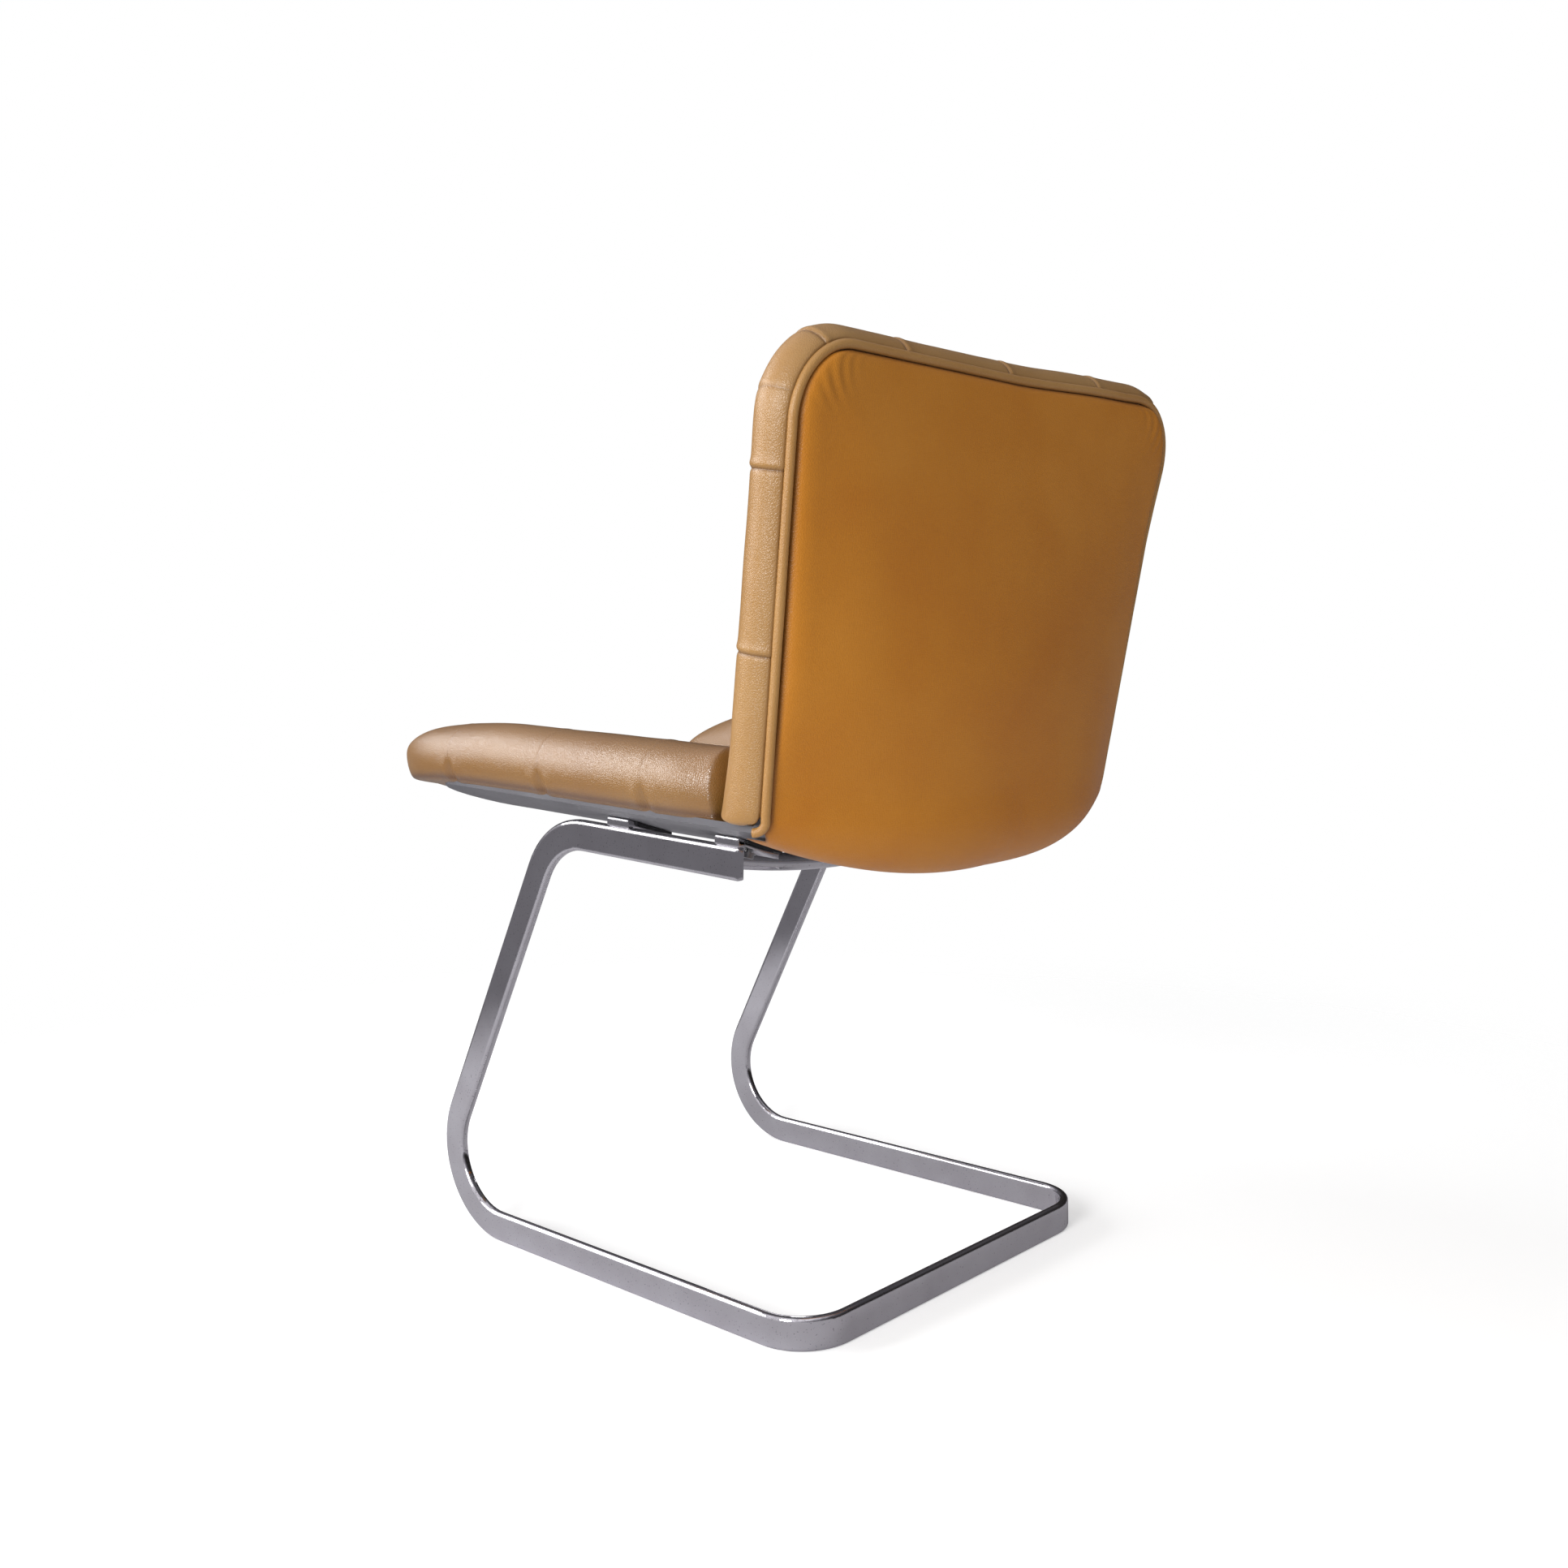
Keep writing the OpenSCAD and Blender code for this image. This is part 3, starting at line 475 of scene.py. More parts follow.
def buildSeat():
    cols = stations(-seat["innerHalf"], seat["innerHalf"], acrossSeams)
    straight = seat["front"] - seat["innerRadius"]
    rows = stations(seat["rear"], straight, seat["seams"])
    rows += [seat["front"] - seat["innerRadius"] * (1 - sin(radians(a))) for a in seat["cornerAngles"]]
    turns = [cornerTurn(seat["front"] - q, seat["innerRadius"]) for q in rows]
    edge = perimeter(len(cols) - 1, len(rows) - 1, turns)
    sewn = Sewn()
    for q in rows:
        for x0 in cols:
            inside = min(seat["innerHalf"] - abs(x0), q - seat["rear"], seat["front"] - q)
            strength = seat["seamAtEdge"] + seat["seamInside"] * smooth(inside / seat["insideReach"])
            sewn.add(fromSeat(seatCell(x0, q)), -fromSeam(x0, acrossSeams), fromSeam(q, seat["seams"]),
                     face=smooth(inside / sewing["faceReach"]), strength=strength)
    for f in seat["rollAngles"] + (None,):
        for i, j, way in edge:
            acrossAt = -fromSeam(cols[i], acrossSeams) if way == 90 else clearOfSeams
            alongAt = fromSeam(rows[j], seat["seams"]) if facesSide(way) else clearOfSeams
            addSeatRing(sewn, f, seatCell(cols[i], rows[j]), way, rows[j], acrossAt, alongAt)
    for q in rows:
        for x0 in cols:
            x, y, v = seatCell(x0, q)
            sewn.add(fromSeat((x, y, inShell(x))), held=1.0, hidden=True)
    faces = cushionFaces(len(cols), len(rows), edge, len(seat["rollAngles"]) + 1)
    piece = meshObject("seatCushion", sewn.points, faces)
    finishCushion(piece, sewn, seat)
    return piece


# Back cushion: the same patches, wrapped to the welt round the rear panel

back = {
    "pad": 42.0,  # thickness at the top
    "padSwell": 13.0,
    "bulge": 11.0,
    "topBulge": 14.0,
    "innerRadius": 35.0,
    "footLength": 22.0,
    "footDip": 18.0,
    "seams": (124.94, 249.87),
    "faceSeam": 0.8,
    "rollSeam": 0.9,
    "cornerAngles": (7, 12, 14.2, 15, 15.8, 17.5, 20.5, 28, 37, 46, 54,
                     59, 61.2, 62, 62.8, 64.2, 66.5, 70, 77, 84, 90),
    "rollAngles": (80, 68, 56, 44, 32, 20, 8, -4, -15, -24, -32, -38, -42),
    "sideRoll": 27.5,
    "topRoll": 30.0,
    "lowRoll": 8.0,
    "lowAngle": 53.0,
    "topTurn": 6,  # the top is wrapped a little further round
    "topTurnFrom": -20,
    "mitre": 62.0,
    "faintSeam": 15.0,
    "faintStrength": 0.4,
    "faintReach": 12,
    "cornerArc": 1.1,  # millimetres of outer roll to a degree
    "hemIn": 0.52,
    "hemDepth": 1.62,
    "shadeFrom": -36,
    "shadeTurn": 5,
    "shadeTop": 0.3,
    "shadeSide": 0.6,
    "puff": 2.0,
    "pressure": 3.0,
    "faceCap": 3.5,
    "rollCap": 1.0,
}
backTop = chair["backLength"] + back["topBulge"] - back["topRoll"]

# The boxing runs down over the shell's edge beside the seat, and forward over the seat's end
flare = {
    "down": 16.0,
    "outsideFrom": 217,
    "outsideWidth": 5,
    "length": 62,
    "forward": 4.0,
    "forwardFrom": 212,
    "forwardWidth": 12,
    "thickFrom": 4,
    "thickWidth": 26,
}

# The upper corner away from the camera stands squarer than the near one
farCorner = {
    "out": 8.0,
    "top": 5.0,
    "up": 2,
    "below": 120,
    "height": 100,
    "from": 140,
    "width": 80,
    "topWidth": 150,
}


def plumpCorner(x, length):
    height = smooth((length - chair["backLength"] + farCorner["below"]) / farCorner["height"])
    weight = smooth((-x - farCorner["from"]) / farCorner["width"]) * height
    rise = farCorner["top"] * smooth(-x / farCorner["topWidth"]) + farCorner["up"] * weight
    return x - farCorner["out"] * weight, length + rise * height


def backFlare(p):
    x, length, h = p
    outside = smooth((abs(x) - flare["outsideFrom"]) / flare["outsideWidth"])
    low = smooth(1 - length / flare["length"])
    thick = smooth((h - flare["thickFrom"]) / flare["thickWidth"])
    down = flare["down"] * outside * low
    forward = flare["forward"] * smooth((abs(x) - flare["forwardFrom"]) / flare["forwardWidth"])
    x, length = plumpCorner(x, length)
    return x, length - down, h + forward * low * thick


def backInner(length):
    return backHalf(length) + back["bulge"] - back["sideRoll"]


def backCell(x0, q):
    # The middle patches keep their width and the outer ones take up the taper
    full = backInner(0)
    fixed = chair["patch"] + chair["seamHalf"]
    width = easedWidth(backInner(q), backTop - q, back["innerRadius"])
    if width < fixed + chair["seamHalf"]:
        x = x0 * width / full
    elif abs(x0) <= fixed:
        x = x0
    else:
        x = (fixed + (abs(x0) - fixed) * (width - fixed) / (full - fixed)) * (1 if x0 > 0 else -1)
    toSeam = back["seams"][0] - chair["seamHalf"] - back["footLength"]
    fade = smooth(1 - (q - back["footLength"]) / toSeam)
    length = q - back["footDip"] * dished(x / backHalf(0)) * fade
    thick = back["pad"] + back["padSwell"] * (1 - length / chair["backLength"])
    return x, length, thick - swellAt(length) * dished(x / backHalf(length))


def boxingSeams(x0, q, way, turn):
    # Distances to the seams that cross the boxing, and how strong they are
    if turn > 0 and way != 90 and not 180 < way < 360:
        up = way if way < 90 else 180 - way
        if abs(up - back["faintSeam"]) < back["faintReach"]:
            return (up - back["faintSeam"]) * back["cornerArc"], clearOfSeams, back["faintStrength"]
        return (up - back["mitre"]) * back["cornerArc"], clearOfSeams, back["rollSeam"]
    if facesSide(way):
        return clearOfSeams, fromSeam(q, back["seams"]), back["rollSeam"]
    if way == 90:
        return -fromSeam(x0, acrossSeams), clearOfSeams, back["rollSeam"]
    return clearOfSeams, clearOfSeams, back["rollSeam"]


def addBackRing(sewn, f, cell, way, seams):
    # One point of a ring at f degrees from level, with f None for the hem under the welt
    x, length, h = cell
    atFoot = 180 < way < 360
    half = (h - inBack(x, length)) / 2 if atFoot else h / (1 + sin(radians(back["lowAngle"])))
    reachX = back["sideRoll"] * cos(radians(way))
    reachL = (back["lowRoll"] if atFoot else back["topRoll"]) * sin(radians(way))
    if f is None:
        k = back["hemIn"]
        level = inBack(x, length) if atFoot else h - half * back["hemDepth"]
        sewn.add(fromBack(plumpCorner(x + reachX * k, length + reachL * k) + (level,)), held=1.0)
        return
    further = back["topTurn"] * max(0, sin(radians(way))) if f < back["topTurnFrom"] else 0
    angle = radians(f - further)
    place = (x + reachX * cos(angle), length + reachL * cos(angle), h - half + half * sin(angle))
    acrossAt, alongAt, strength = seams
    # Painted shade: the boxing is darkened where it turns under to the welt, less along the top than down
    # the sides, none at the foot
    shade = back["shadeTop"] if way == 90 else back["shadeSide"]
    sewn.add(fromBack(backFlare(place)), acrossAt, alongAt,
             held=1.0 if f < sewing["hemAngle"] else 0.0, strength=strength,
             dark=shade * smooth((back["shadeFrom"] - f) / back["shadeTurn"]) * (not atFoot))


def buildBack():
    cols = stations(-backInner(0), backInner(0), acrossSeams)
    rows = stations(back["footLength"], backTop - back["innerRadius"], back["seams"])
    rows += [backTop - back["innerRadius"] * (1 - sin(radians(a))) for a in back["cornerAngles"]]
    turns = [cornerTurn(backTop - q, back["innerRadius"]) for q in rows]
    edge = perimeter(len(cols) - 1, len(rows) - 1, turns)
    sewn = Sewn()
    for q in rows:
        for x0 in cols:
            inside = min(backInner(0) - abs(x0), q - back["footLength"], backTop - q)
            sewn.add(fromBack(backCell(x0, q)), -fromSeam(x0, acrossSeams), fromSeam(q, back["seams"]),
                     face=smooth(inside / sewing["faceReach"]), strength=back["faceSeam"])
    for f in back["rollAngles"] + (None,):
        for i, j, way in edge:
            seams = boxingSeams(cols[i], rows[j], way, turns[j])
            addBackRing(sewn, f, backCell(cols[i], rows[j]), way, seams)
    for q in rows:
        for x0 in cols:
            x, length, h = backCell(x0, q)
            sewn.add(fromBack((x, length, inBack(x, length))), held=1.0, hidden=True)
    faces = cushionFaces(len(cols), len(rows), edge, len(back["rollAngles"]) + 1)
    piece = meshObject("backCushion", sewn.points, faces)
    finishCushion(piece, sewn, back)
    return piece


# Rear panel: one smooth piece of leather over felt, from the top welt to under the bend

panel = {
    "leather": 1.4,
    "inset": 2.8,
    "footInset": 10.0,
    "farFoot": 0.85,  # the side away from the camera stays full at the foot
    "farFootWidth": 0.7,
    "footDraw": 2.0,
    "fullFrom": 0.35,
    "rimBend": 12.0,
    "bellyBend": 45.0,
    "startShare": 0.95,
    "columns": 104,
    "crowding": 0.3,  # columns stand closer toward the sides
    "footRows": 3,
    "bendRows": 14,
    "backRows": 50,
    "topRows": 30,
    "topShare": 0.2,
    "halfWidth": 220,
    "footPitch": 9,
    "clear": 300,
    "puff": 3.0,
    "puffReach": 70,
    "edgeRise": 6.0,
    "edgeWidth": 16,
    "edgeTurn": 1.2,
    "turnWidth": 2.2,
    "edgeShade": 0.9,
    "shadeWidth": 1.6,
    "wave": 0.4,
    "waveAcross": 2.2,
    "waveAlong": 0.05,
    "waveSeed": 3.0,
    "waveReach": 30,
    "crease": 1.9,
    "creaseAt": 20.0,
    "creaseSize": 15.0,
    "creaseWave": 0.55,
    "creaseFade": 6,
}


def sideView(front, corner, top, radius):
    # Outline of the shell seen from the side: a straight seat, a bend and a straight back
    into = Vector(corner) - Vector(front)
    out = Vector(top) - Vector(corner)
    into.normalize()
    out.normalize()
    turn = acos(into.dot(out))
    lead = radius * tan(turn / 2)
    left = Vector((-into[1], into[0]))
    start = Vector(corner) - into * lead
    return {"front": Vector(front), "start": start, "centre": start + left * radius, "radius": radius,
            "angle": atan2(into[1], into[0]), "turn": turn, "end": Vector(corner) + out * lead,
            "top": Vector(top)}


def onView(view, kind, t):
    # A place on that outline and the way up there: kind 0 is the seat, 1 the bend, 2 the back
    angle = view["angle"] + (0 if kind == 0 else view["turn"] * (t if kind == 1 else 1))
    up = Vector((-sin(angle), cos(angle)))
    if kind == 0:
        at = view["front"].lerp(view["start"], t)
    elif kind == 1:
        at = view["centre"] - up * view["radius"]
    else:
        at = view["end"].lerp(view["top"], t)
    return at, up


footY, footZ = chair["foot"]
rimFoot = (footY + toSitter[0] * chair["skin"], footZ + toSitter[1] * chair["skin"])
rimTop = (footY + backUp[0] * chair["backLength"] + toSitter[0] * chair["skin"],
          footZ + backUp[1] * chair["backLength"] + toSitter[1] * chair["skin"])
rimFront = (-chair["shellReach"], rimHeight(-chair["shellReach"]))
bellyFoot = (rimFoot[0] + chair["swell"], rimFoot[1])
bellyRun = Vector((rimTop[0] - bellyFoot[0], rimTop[1] - bellyFoot[1])).normalized()
bellyOver = bellyFoot[1] - rimHeight(bellyFoot[0]) + chair["dish"]
bellyDrop = bellyOver / (bellyRun[1] + bellyRun[0] * seatSlope)
bellyCorner = (bellyFoot[0] - bellyRun[0] * bellyDrop, bellyFoot[1] - bellyRun[1] * bellyDrop)
rimView = sideView(rimFront, (rimFoot[0], rimHeight(rimFoot[0])), rimTop, panel["rimBend"])
bellyView = sideView((rimFront[0], rimFront[1] - chair["dish"]), bellyCorner, rimTop, panel["bellyBend"])
backLine = (rimView["top"] - rimView["end"]).length


def sheetPoint(kind, t, u, off, inset):
    edgeAt, edgeUp = onView(rimView, kind, t)
    midAt, midUp = onView(bellyView, kind, t)
    width = backHalf(t * chair["backLength"]) if kind == 2 else chair["seatHalf"]
    narrow = width - inset
    if kind == 2:
        narrow = easedWidth(narrow, max(0, (1 - t) * backLine - inset), chair["topCorner"] - inset)
    x = u * narrow
    share = dished(x / width)
    p = (edgeAt + edgeUp * off).lerp(midAt + midUp * off, share)
    if kind == 2:
        x, longer = plumpCorner(x, t * chair["backLength"])
        p += Vector(backUp) * (longer - t * chair["backLength"])
    return (x, chair["shift"] + p[0], p[1])


def panelRise(kind, t, u, edgeGap):
    # How far the leather stands off the shell's skin: full above, drawn in at the foot
    upper = smooth(t / panel["fullFrom"]) if kind == 2 else 0
    upper += (1 - upper) * panel["farFoot"] * smooth(-u / panel["farFootWidth"])
    rise = panel["edgeRise"] * (1 - max(0, 1 - edgeGap / panel["edgeWidth"]) ** 2) ** 0.5
    full = panel["puff"] * smooth(edgeGap / panel["puffReach"]) + rise
    return full * upper - panel["footDraw"] * (1 - upper)


def cornerCrease(kind, t, u, top, edgeGap):
    # A fan of small wrinkles inside the upper corners
    aside = (1 - abs(u)) * chair["topHalf"] - panel["creaseAt"]
    below = (top - t if kind == 2 else 1) * backLine - panel["creaseAt"]
    weight = bell(hypot(aside, below), panel["creaseSize"]) * smooth(edgeGap / panel["creaseFade"])
    return panel["crease"] * weight * cos((aside - below) * panel["creaseWave"])


def panelRows(top):
    share = panel["topShare"]
    start = panel["startShare"]
    places = [(0, start + (1 - start) * i / panel["footRows"]) for i in range(panel["footRows"])]
    places += [(1, i / panel["bendRows"]) for i in range(panel["bendRows"] + 1)]
    for i in range(1, panel["backRows"] + 1):
        places.append((2, top * (i / panel["backRows"]) * (1 - share)))
    for i in range(1, panel["topRows"] + 1):
        places.append((2, top * (1 - share * cos(radians(90 * i / panel["topRows"])))))
    return places


def buildPanel():
    even = [2 * i / panel["columns"] - 1 for i in range(panel["columns"] + 1)]
    cols = [panel["crowding"] * sin(radians(90 * v)) + (1 - panel["crowding"]) * v for v in even]
    top = 1 - panel["inset"] / backLine
    places = panelRows(top)
    rowCount = len(places)
    outer, inner, edges = [], [], []
    for row, (kind, t) in enumerate(places):
        toTop = (top - t) * backLine if kind == 2 else panel["clear"]
        under = (1, max(0, 1 - 2 * t), 0)[kind]
        inset = panel["inset"] + panel["footInset"] * under
        for u in cols:
            edgeGap = min((1 - abs(u)) * panel["halfWidth"], toTop, row * panel["footPitch"])
            turned = panel["edgeTurn"] * bell(edgeGap, panel["turnWidth"])
            # Painted shade: the leather is darkened in a narrow band along its edge, in the crevice beside
            # the welt
            edges.append(panel["edgeShade"] * bell(edgeGap, panel["shadeWidth"]))
            spot = Vector((u * panel["waveAcross"], row * panel["waveAlong"], panel["waveSeed"]))
            wave = panel["wave"] * noise.noise(spot) * smooth(edgeGap / panel["waveReach"])
            off = -chair["skin"] - panelRise(kind, t, u, edgeGap) + turned - wave
            off -= cornerCrease(kind, t, u, top, edgeGap)
            outer.append(sheetPoint(kind, t, u, off, inset))
            behind = -chair["skin"] + turned + panel["leather"]
            inner.append(sheetPoint(kind, t, u, behind, inset))
    n, m = len(outer), len(cols)
    faces = []
    for j in range(rowCount - 1):
        for i in range(m - 1):
            q = j * m + i
            faces.append((q, q + 1, q + m + 1, q + m))
            faces.append((n + q, n + q + m, n + q + m + 1, n + q + 1))
    rim = list(range(m)) + [j * m + m - 1 for j in range(1, rowCount)]
    rim += [(rowCount - 1) * m + i for i in range(m - 2, -1, -1)]
    rim += [j * m for j in range(rowCount - 2, 0, -1)]
    for a, b in zip(rim, rim[1:] + rim[:1]):
        faces.append((a, n + a, n + b, b))
    piece = meshObject("rearPanel", outer + inner, faces)
    fitNormals(piece)
    storeSeamsAndShade(piece, edges + edges)
    addSubdivision(piece, 1)
    return piece


# Welt: leather rolled over a cord, sewn between the panel and the boxing

welt = {
    "radius": 3.5,
    "height": 1.2,
    "out": 1.0,
    "curl": 9.0,
    "curlOut": 4.1,
    "sides": 14,
    "curlAngles": range(8, 90, 9),
    "cornerAngles": range(0, 90, 4),
    "sideFrom": 14,
    "sideStep": 6,
    "topSteps": 30,
    "wobble": 0.03,
    "wobbleScale": 0.05,
}


def weltPath():
    # From the turned-in end at the foot, up the side, round the corner, over the top and down again
    r = chair["topCorner"] + welt["out"]
    side = []
    for a in welt["curlAngles"]:
        lift = 1 - sin(radians(a))
        side.append((backHalf(0) + welt["out"] + welt["curlOut"] * lift,
                     welt["curl"] * (1 - cos(radians(a))), welt["height"] + welt["curl"] * lift))
    straight = chair["backLength"] - chair["topCorner"]
    for l in range(welt["sideFrom"], int(straight), welt["sideStep"]):
        side.append((backHalf(l) + welt["out"], l, welt["height"]))
    flat = backHalf(straight) + welt["out"] - r
    for a in welt["cornerAngles"]:
        side.append((flat + r * cos(radians(a)), straight + r * sin(radians(a)), welt["height"]))
    steps = welt["topSteps"]
    level = chair["backLength"] + welt["out"]
    top = [(flat * k / steps, level, welt["height"]) for k in range(steps, -steps - 1, -1)]
    return side + top + [(-x, l, h) for x, l, h in reversed(side)]


def buildWelt():
    path = [Vector(fromBack(plumpCorner(x, l) + (h,))) for x, l, h in weltPath()]
    sitter = Vector((0, toSitter[0], toSitter[1]))
    points = []
    for i, p in enumerate(path):
        way = (path[min(len(path) - 1, i + 1)] - path[max(0, i - 1)]).normalized()
        a = (sitter - way * sitter.dot(way)).normalized()
        b = way.cross(a)
        wobble = 1 + welt["wobble"] * noise.noise(p * welt["wobbleScale"])
        for k in range(welt["sides"]):
            turn = 2 * pi * k / welt["sides"]
            points.append(tuple(p + (a * cos(turn) + b * sin(turn)) * welt["radius"] * wobble))
    s = welt["sides"]
    faces = []
    for i in range(len(path) - 1):
        for k in range(s):
            n = (k + 1) % s
            faces.append((i * s + k, i * s + n, (i + 1) * s + n, (i + 1) * s + k))
    faces.append(tuple(range(s - 1, -1, -1)))
    faces.append(tuple((len(path) - 1) * s + k for k in range(s)))
    piece = meshObject("backWelt", points, faces)
    fitNormals(piece)
    storeSeamsAndShade(piece, [0.0] * len(points))
    return piece


# Materials

def startMaterial(name):
    material = bpy.data.materials.new(name)
    material.use_nodes = True
    tree = material.node_tree
    tree.nodes.clear()
    shader = addNode(tree, "ShaderNodeBsdfPrincipled")
    addNode(tree, "ShaderNodeOutputMaterial", links={"Surface": shader.outputs["BSDF"]})
    return material, tree, shader


leather = {
    "clouds": 9.0,  # dye clouds of about 110 mm
    "flecks": 420.0,  # pores of 2 to 3 mm
    "fleckShare": 0.28,
    "pebbles": 620.0,  # grain of 1.6 mm, coarser than the real one so that it shows
    "creaseWidth": 0.25,
    "grainBump": 0.28,
    "grainDepth": 0.0005,
    "smoother": 0.05,
    "rougher": 0.08,
    # Tone and strength of the darkening along the seams, which also paints the shade at the hems and beside
    # the welt
    "seamAndShadeTone": "#4a2812",
    "seamAndShadeStrength": 0.7,
    "coat": 0.2,
    "coatRoughness": 0.35,
    "sheen": 0.03,
    "sheenRoughness": 0.5,
}


# Semi-aniline cowhide: dye shows through a thin finish, so the tan is cloudy and the grain is fine
def aniline(name, colors, roughness, gloss):
    material, tree, shader = startMaterial(name)
    place = addNode(tree, "ShaderNodeTexCoord").outputs["Object"]
    clouds = addNode(tree, "ShaderNodeTexNoise",
                     {"Scale": leather["clouds"], "Detail": 3.0, "Roughness": 0.5}, {"Vector": place})
    flecks = addNode(tree, "ShaderNodeTexNoise",
                     {"Scale": leather["flecks"], "Detail": 3.0, "Roughness": 0.6}, {"Vector": place})
    mixed = addNode(tree, "ShaderNodeMath", {"operation": "MULTIPLY_ADD", 1: leather["fleckShare"]},
                    {0: flecks.outputs["Fac"], 2: clouds.outputs["Fac"]})
    centred = addNode(tree, "ShaderNodeMath", {"operation": "SUBTRACT", 1: leather["fleckShare"] / 2},
                      {0: mixed.outputs[0]})
    dye = addNode(tree, "ShaderNodeValToRGB", {"stops": tuple(zip((0.25, 0.5, 0.75), colors))},
                  {"Fac": centred.outputs[0]})
    # The seam attribute darkens the dye toward the seam tone: real dark seam lines, and painted shade along
    # the hems and beside the welt
    seam = addNode(tree, "ShaderNodeAttribute", {"attribute_name": "seam"})
    seamAndShadeStrength = addNode(tree, "ShaderNodeMath", {"operation": "MULTIPLY", 1: leather["seamAndShadeStrength"]},
                        {0: seam.outputs["Fac"]})
    color = addNode(tree, "ShaderNodeMix", {"data_type": "RGBA", 7: linearColor(leather["seamAndShadeTone"])},
                    {0: seamAndShadeStrength.outputs[0], 6: dye.outputs["Color"]})
    tree.links.new(color.outputs[2], shader.inputs["Base Color"])
    rough = addNode(tree, "ShaderNodeMapRange", {"To Min": roughness - leather["smoother"],
                                                 "To Max": roughness + leather["rougher"]},
                    {"Value": clouds.outputs["Fac"]})
    tree.links.new(rough.outputs["Result"], shader.inputs["Roughness"])
    cells = addNode(tree, "ShaderNodeTexVoronoi",
                    {"Scale": leather["pebbles"], "feature": "DISTANCE_TO_EDGE"}, {"Vector": place})
    creases = addNode(tree, "ShaderNodeMapRange", {"From Max": leather["creaseWidth"]},
                      {"Value": cells.outputs["Distance"]})
    grain = addNode(tree, "ShaderNodeMath", {"operation": "MULTIPLY_ADD", 1: 0.5},
                    {0: flecks.outputs["Fac"], 2: creases.outputs["Result"]})
    bump = addNode(tree, "ShaderNodeBump",
                   {"Strength": leather["grainBump"], "Distance": leather["grainDepth"]},
                   {"Height": grain.outputs[0]})
    tree.links.new(bump.outputs["Normal"], shader.inputs["Normal"])
    shader.inputs["IOR"].default_value = 1.5
    shader.inputs["Specular IOR Level"].default_value = gloss
    shader.inputs["Coat Weight"].default_value = leather["coat"] * gloss
    shader.inputs["Coat Roughness"].default_value = leather["coatRoughness"]
    shader.inputs["Sheen Weight"].default_value = leather["sheen"]
    shader.inputs["Sheen Roughness"].default_value = leather["sheenRoughness"]
    return material


plating = {
    "wipe": 30.0,
    "roughness": (0.02, 0.06),
    "tones": ((0.3, "#cecccf"), (0.7, "#dad9dc")),
    "pits": 650.0,  # pinholes of the plate, under 1 mm across
    "pitFrom": 0.68,
    "pitTo": 0.74,
    "pitShade": 0.6,
    "pitTone": "#5d585a",
    "ripple": 9.0,
    "rippleBump": 0.08,
    "edge": 0.0022,  # polishing rounds the bar's edges
}


# Nickel and chromium plate over polished steel: a near mirror, faintly violet where it meets white
def polishedChrome():
    material, tree, shader = startMaterial("polished chromium plate")
    place = addNode(tree, "ShaderNodeTexCoord").outputs["Object"]
    wipe = addNode(tree, "ShaderNodeTexNoise", {"Scale": plating["wipe"], "Detail": 5.0}, {"Vector": place})
    low, high = plating["roughness"]
    rough = addNode(tree, "ShaderNodeMapRange", {"To Min": low, "To Max": high},
                    {"Value": wipe.outputs["Fac"]})
    tree.links.new(rough.outputs["Result"], shader.inputs["Roughness"])
    tone = addNode(tree, "ShaderNodeValToRGB", {"stops": plating["tones"]}, {"Fac": wipe.outputs["Fac"]})
    pits = addNode(tree, "ShaderNodeTexNoise", {"Scale": plating["pits"], "Detail": 1.0}, {"Vector": place})
    pitted = addNode(tree, "ShaderNodeMapRange",
                     {"From Min": plating["pitFrom"], "From Max": plating["pitTo"],
                      "To Max": plating["pitShade"]}, {"Value": pits.outputs["Fac"]})
    color = addNode(tree, "ShaderNodeMix", {"data_type": "RGBA", 7: linearColor(plating["pitTone"])},
                    {0: pitted.outputs["Result"], 6: tone.outputs["Color"]})
    tree.links.new(color.outputs[2], shader.inputs["Base Color"])
    shader.inputs["Metallic"].default_value = 1.0
    ripple = addNode(tree, "ShaderNodeTexNoise", {"Scale": plating["ripple"], "Detail": 1.0},
                     {"Vector": place})
    edges = addNode(tree, "ShaderNodeBevel", {"samples": 6, "Radius": plating["edge"]})
    bump = addNode(tree, "ShaderNodeBump", {"Strength": plating["rippleBump"], "Distance": 0.001},
                   {"Height": ripple.outputs["Fac"], "Normal": edges.outputs["Normal"]})
    tree.links.new(bump.outputs["Normal"], shader.inputs["Normal"])
    return material


def mottled(name, scale, detail, tones, metallic, roughness):
    # Colour that drifts between two tones, in patches of about 1000 / scale millimetres
    material, tree, shader = startMaterial(name)
    place = addNode(tree, "ShaderNodeTexCoord").outputs["Object"]
    patches = addNode(tree, "ShaderNodeTexNoise", {"Scale": scale, "Detail": detail}, {"Vector": place})
    tone = addNode(tree, "ShaderNodeValToRGB", {"stops": tones}, {"Fac": patches.outputs["Fac"]})
    tree.links.new(tone.outputs["Color"], shader.inputs["Base Color"])
    shader.inputs["Metallic"].default_value = metallic
    shader.inputs["Roughness"].default_value = roughness
    return material, tree, shader, place, patches


# Zinc plated steel: a softer, bluish grey with a fine mottled bloom
def zincPlate():
    tones = ((0.3, "#9b9d9f"), (0.7, "#bcbcba"))
    return mottled("zinc plated steel", 400.0, 3.0, tones, 1.0, 0.34)[0]


# Turned brass: warm yellow with rings too fine to see
def turnedBrass():
    tones = ((0.35, "#a9843f"), (0.7, "#cfaa60"))
    return mottled("turned brass", 250.0, 2.0, tones, 1.0, 0.3)[0]


# Moulded black rubber: dull, with a dusty bloom
def mouldedRubber():
    tones = ((0.35, "#161518"), (0.75, "#2b292d"))
    return mottled("moulded black rubber", 120.0, 4.0, tones, 0.0, 0.62)[0]


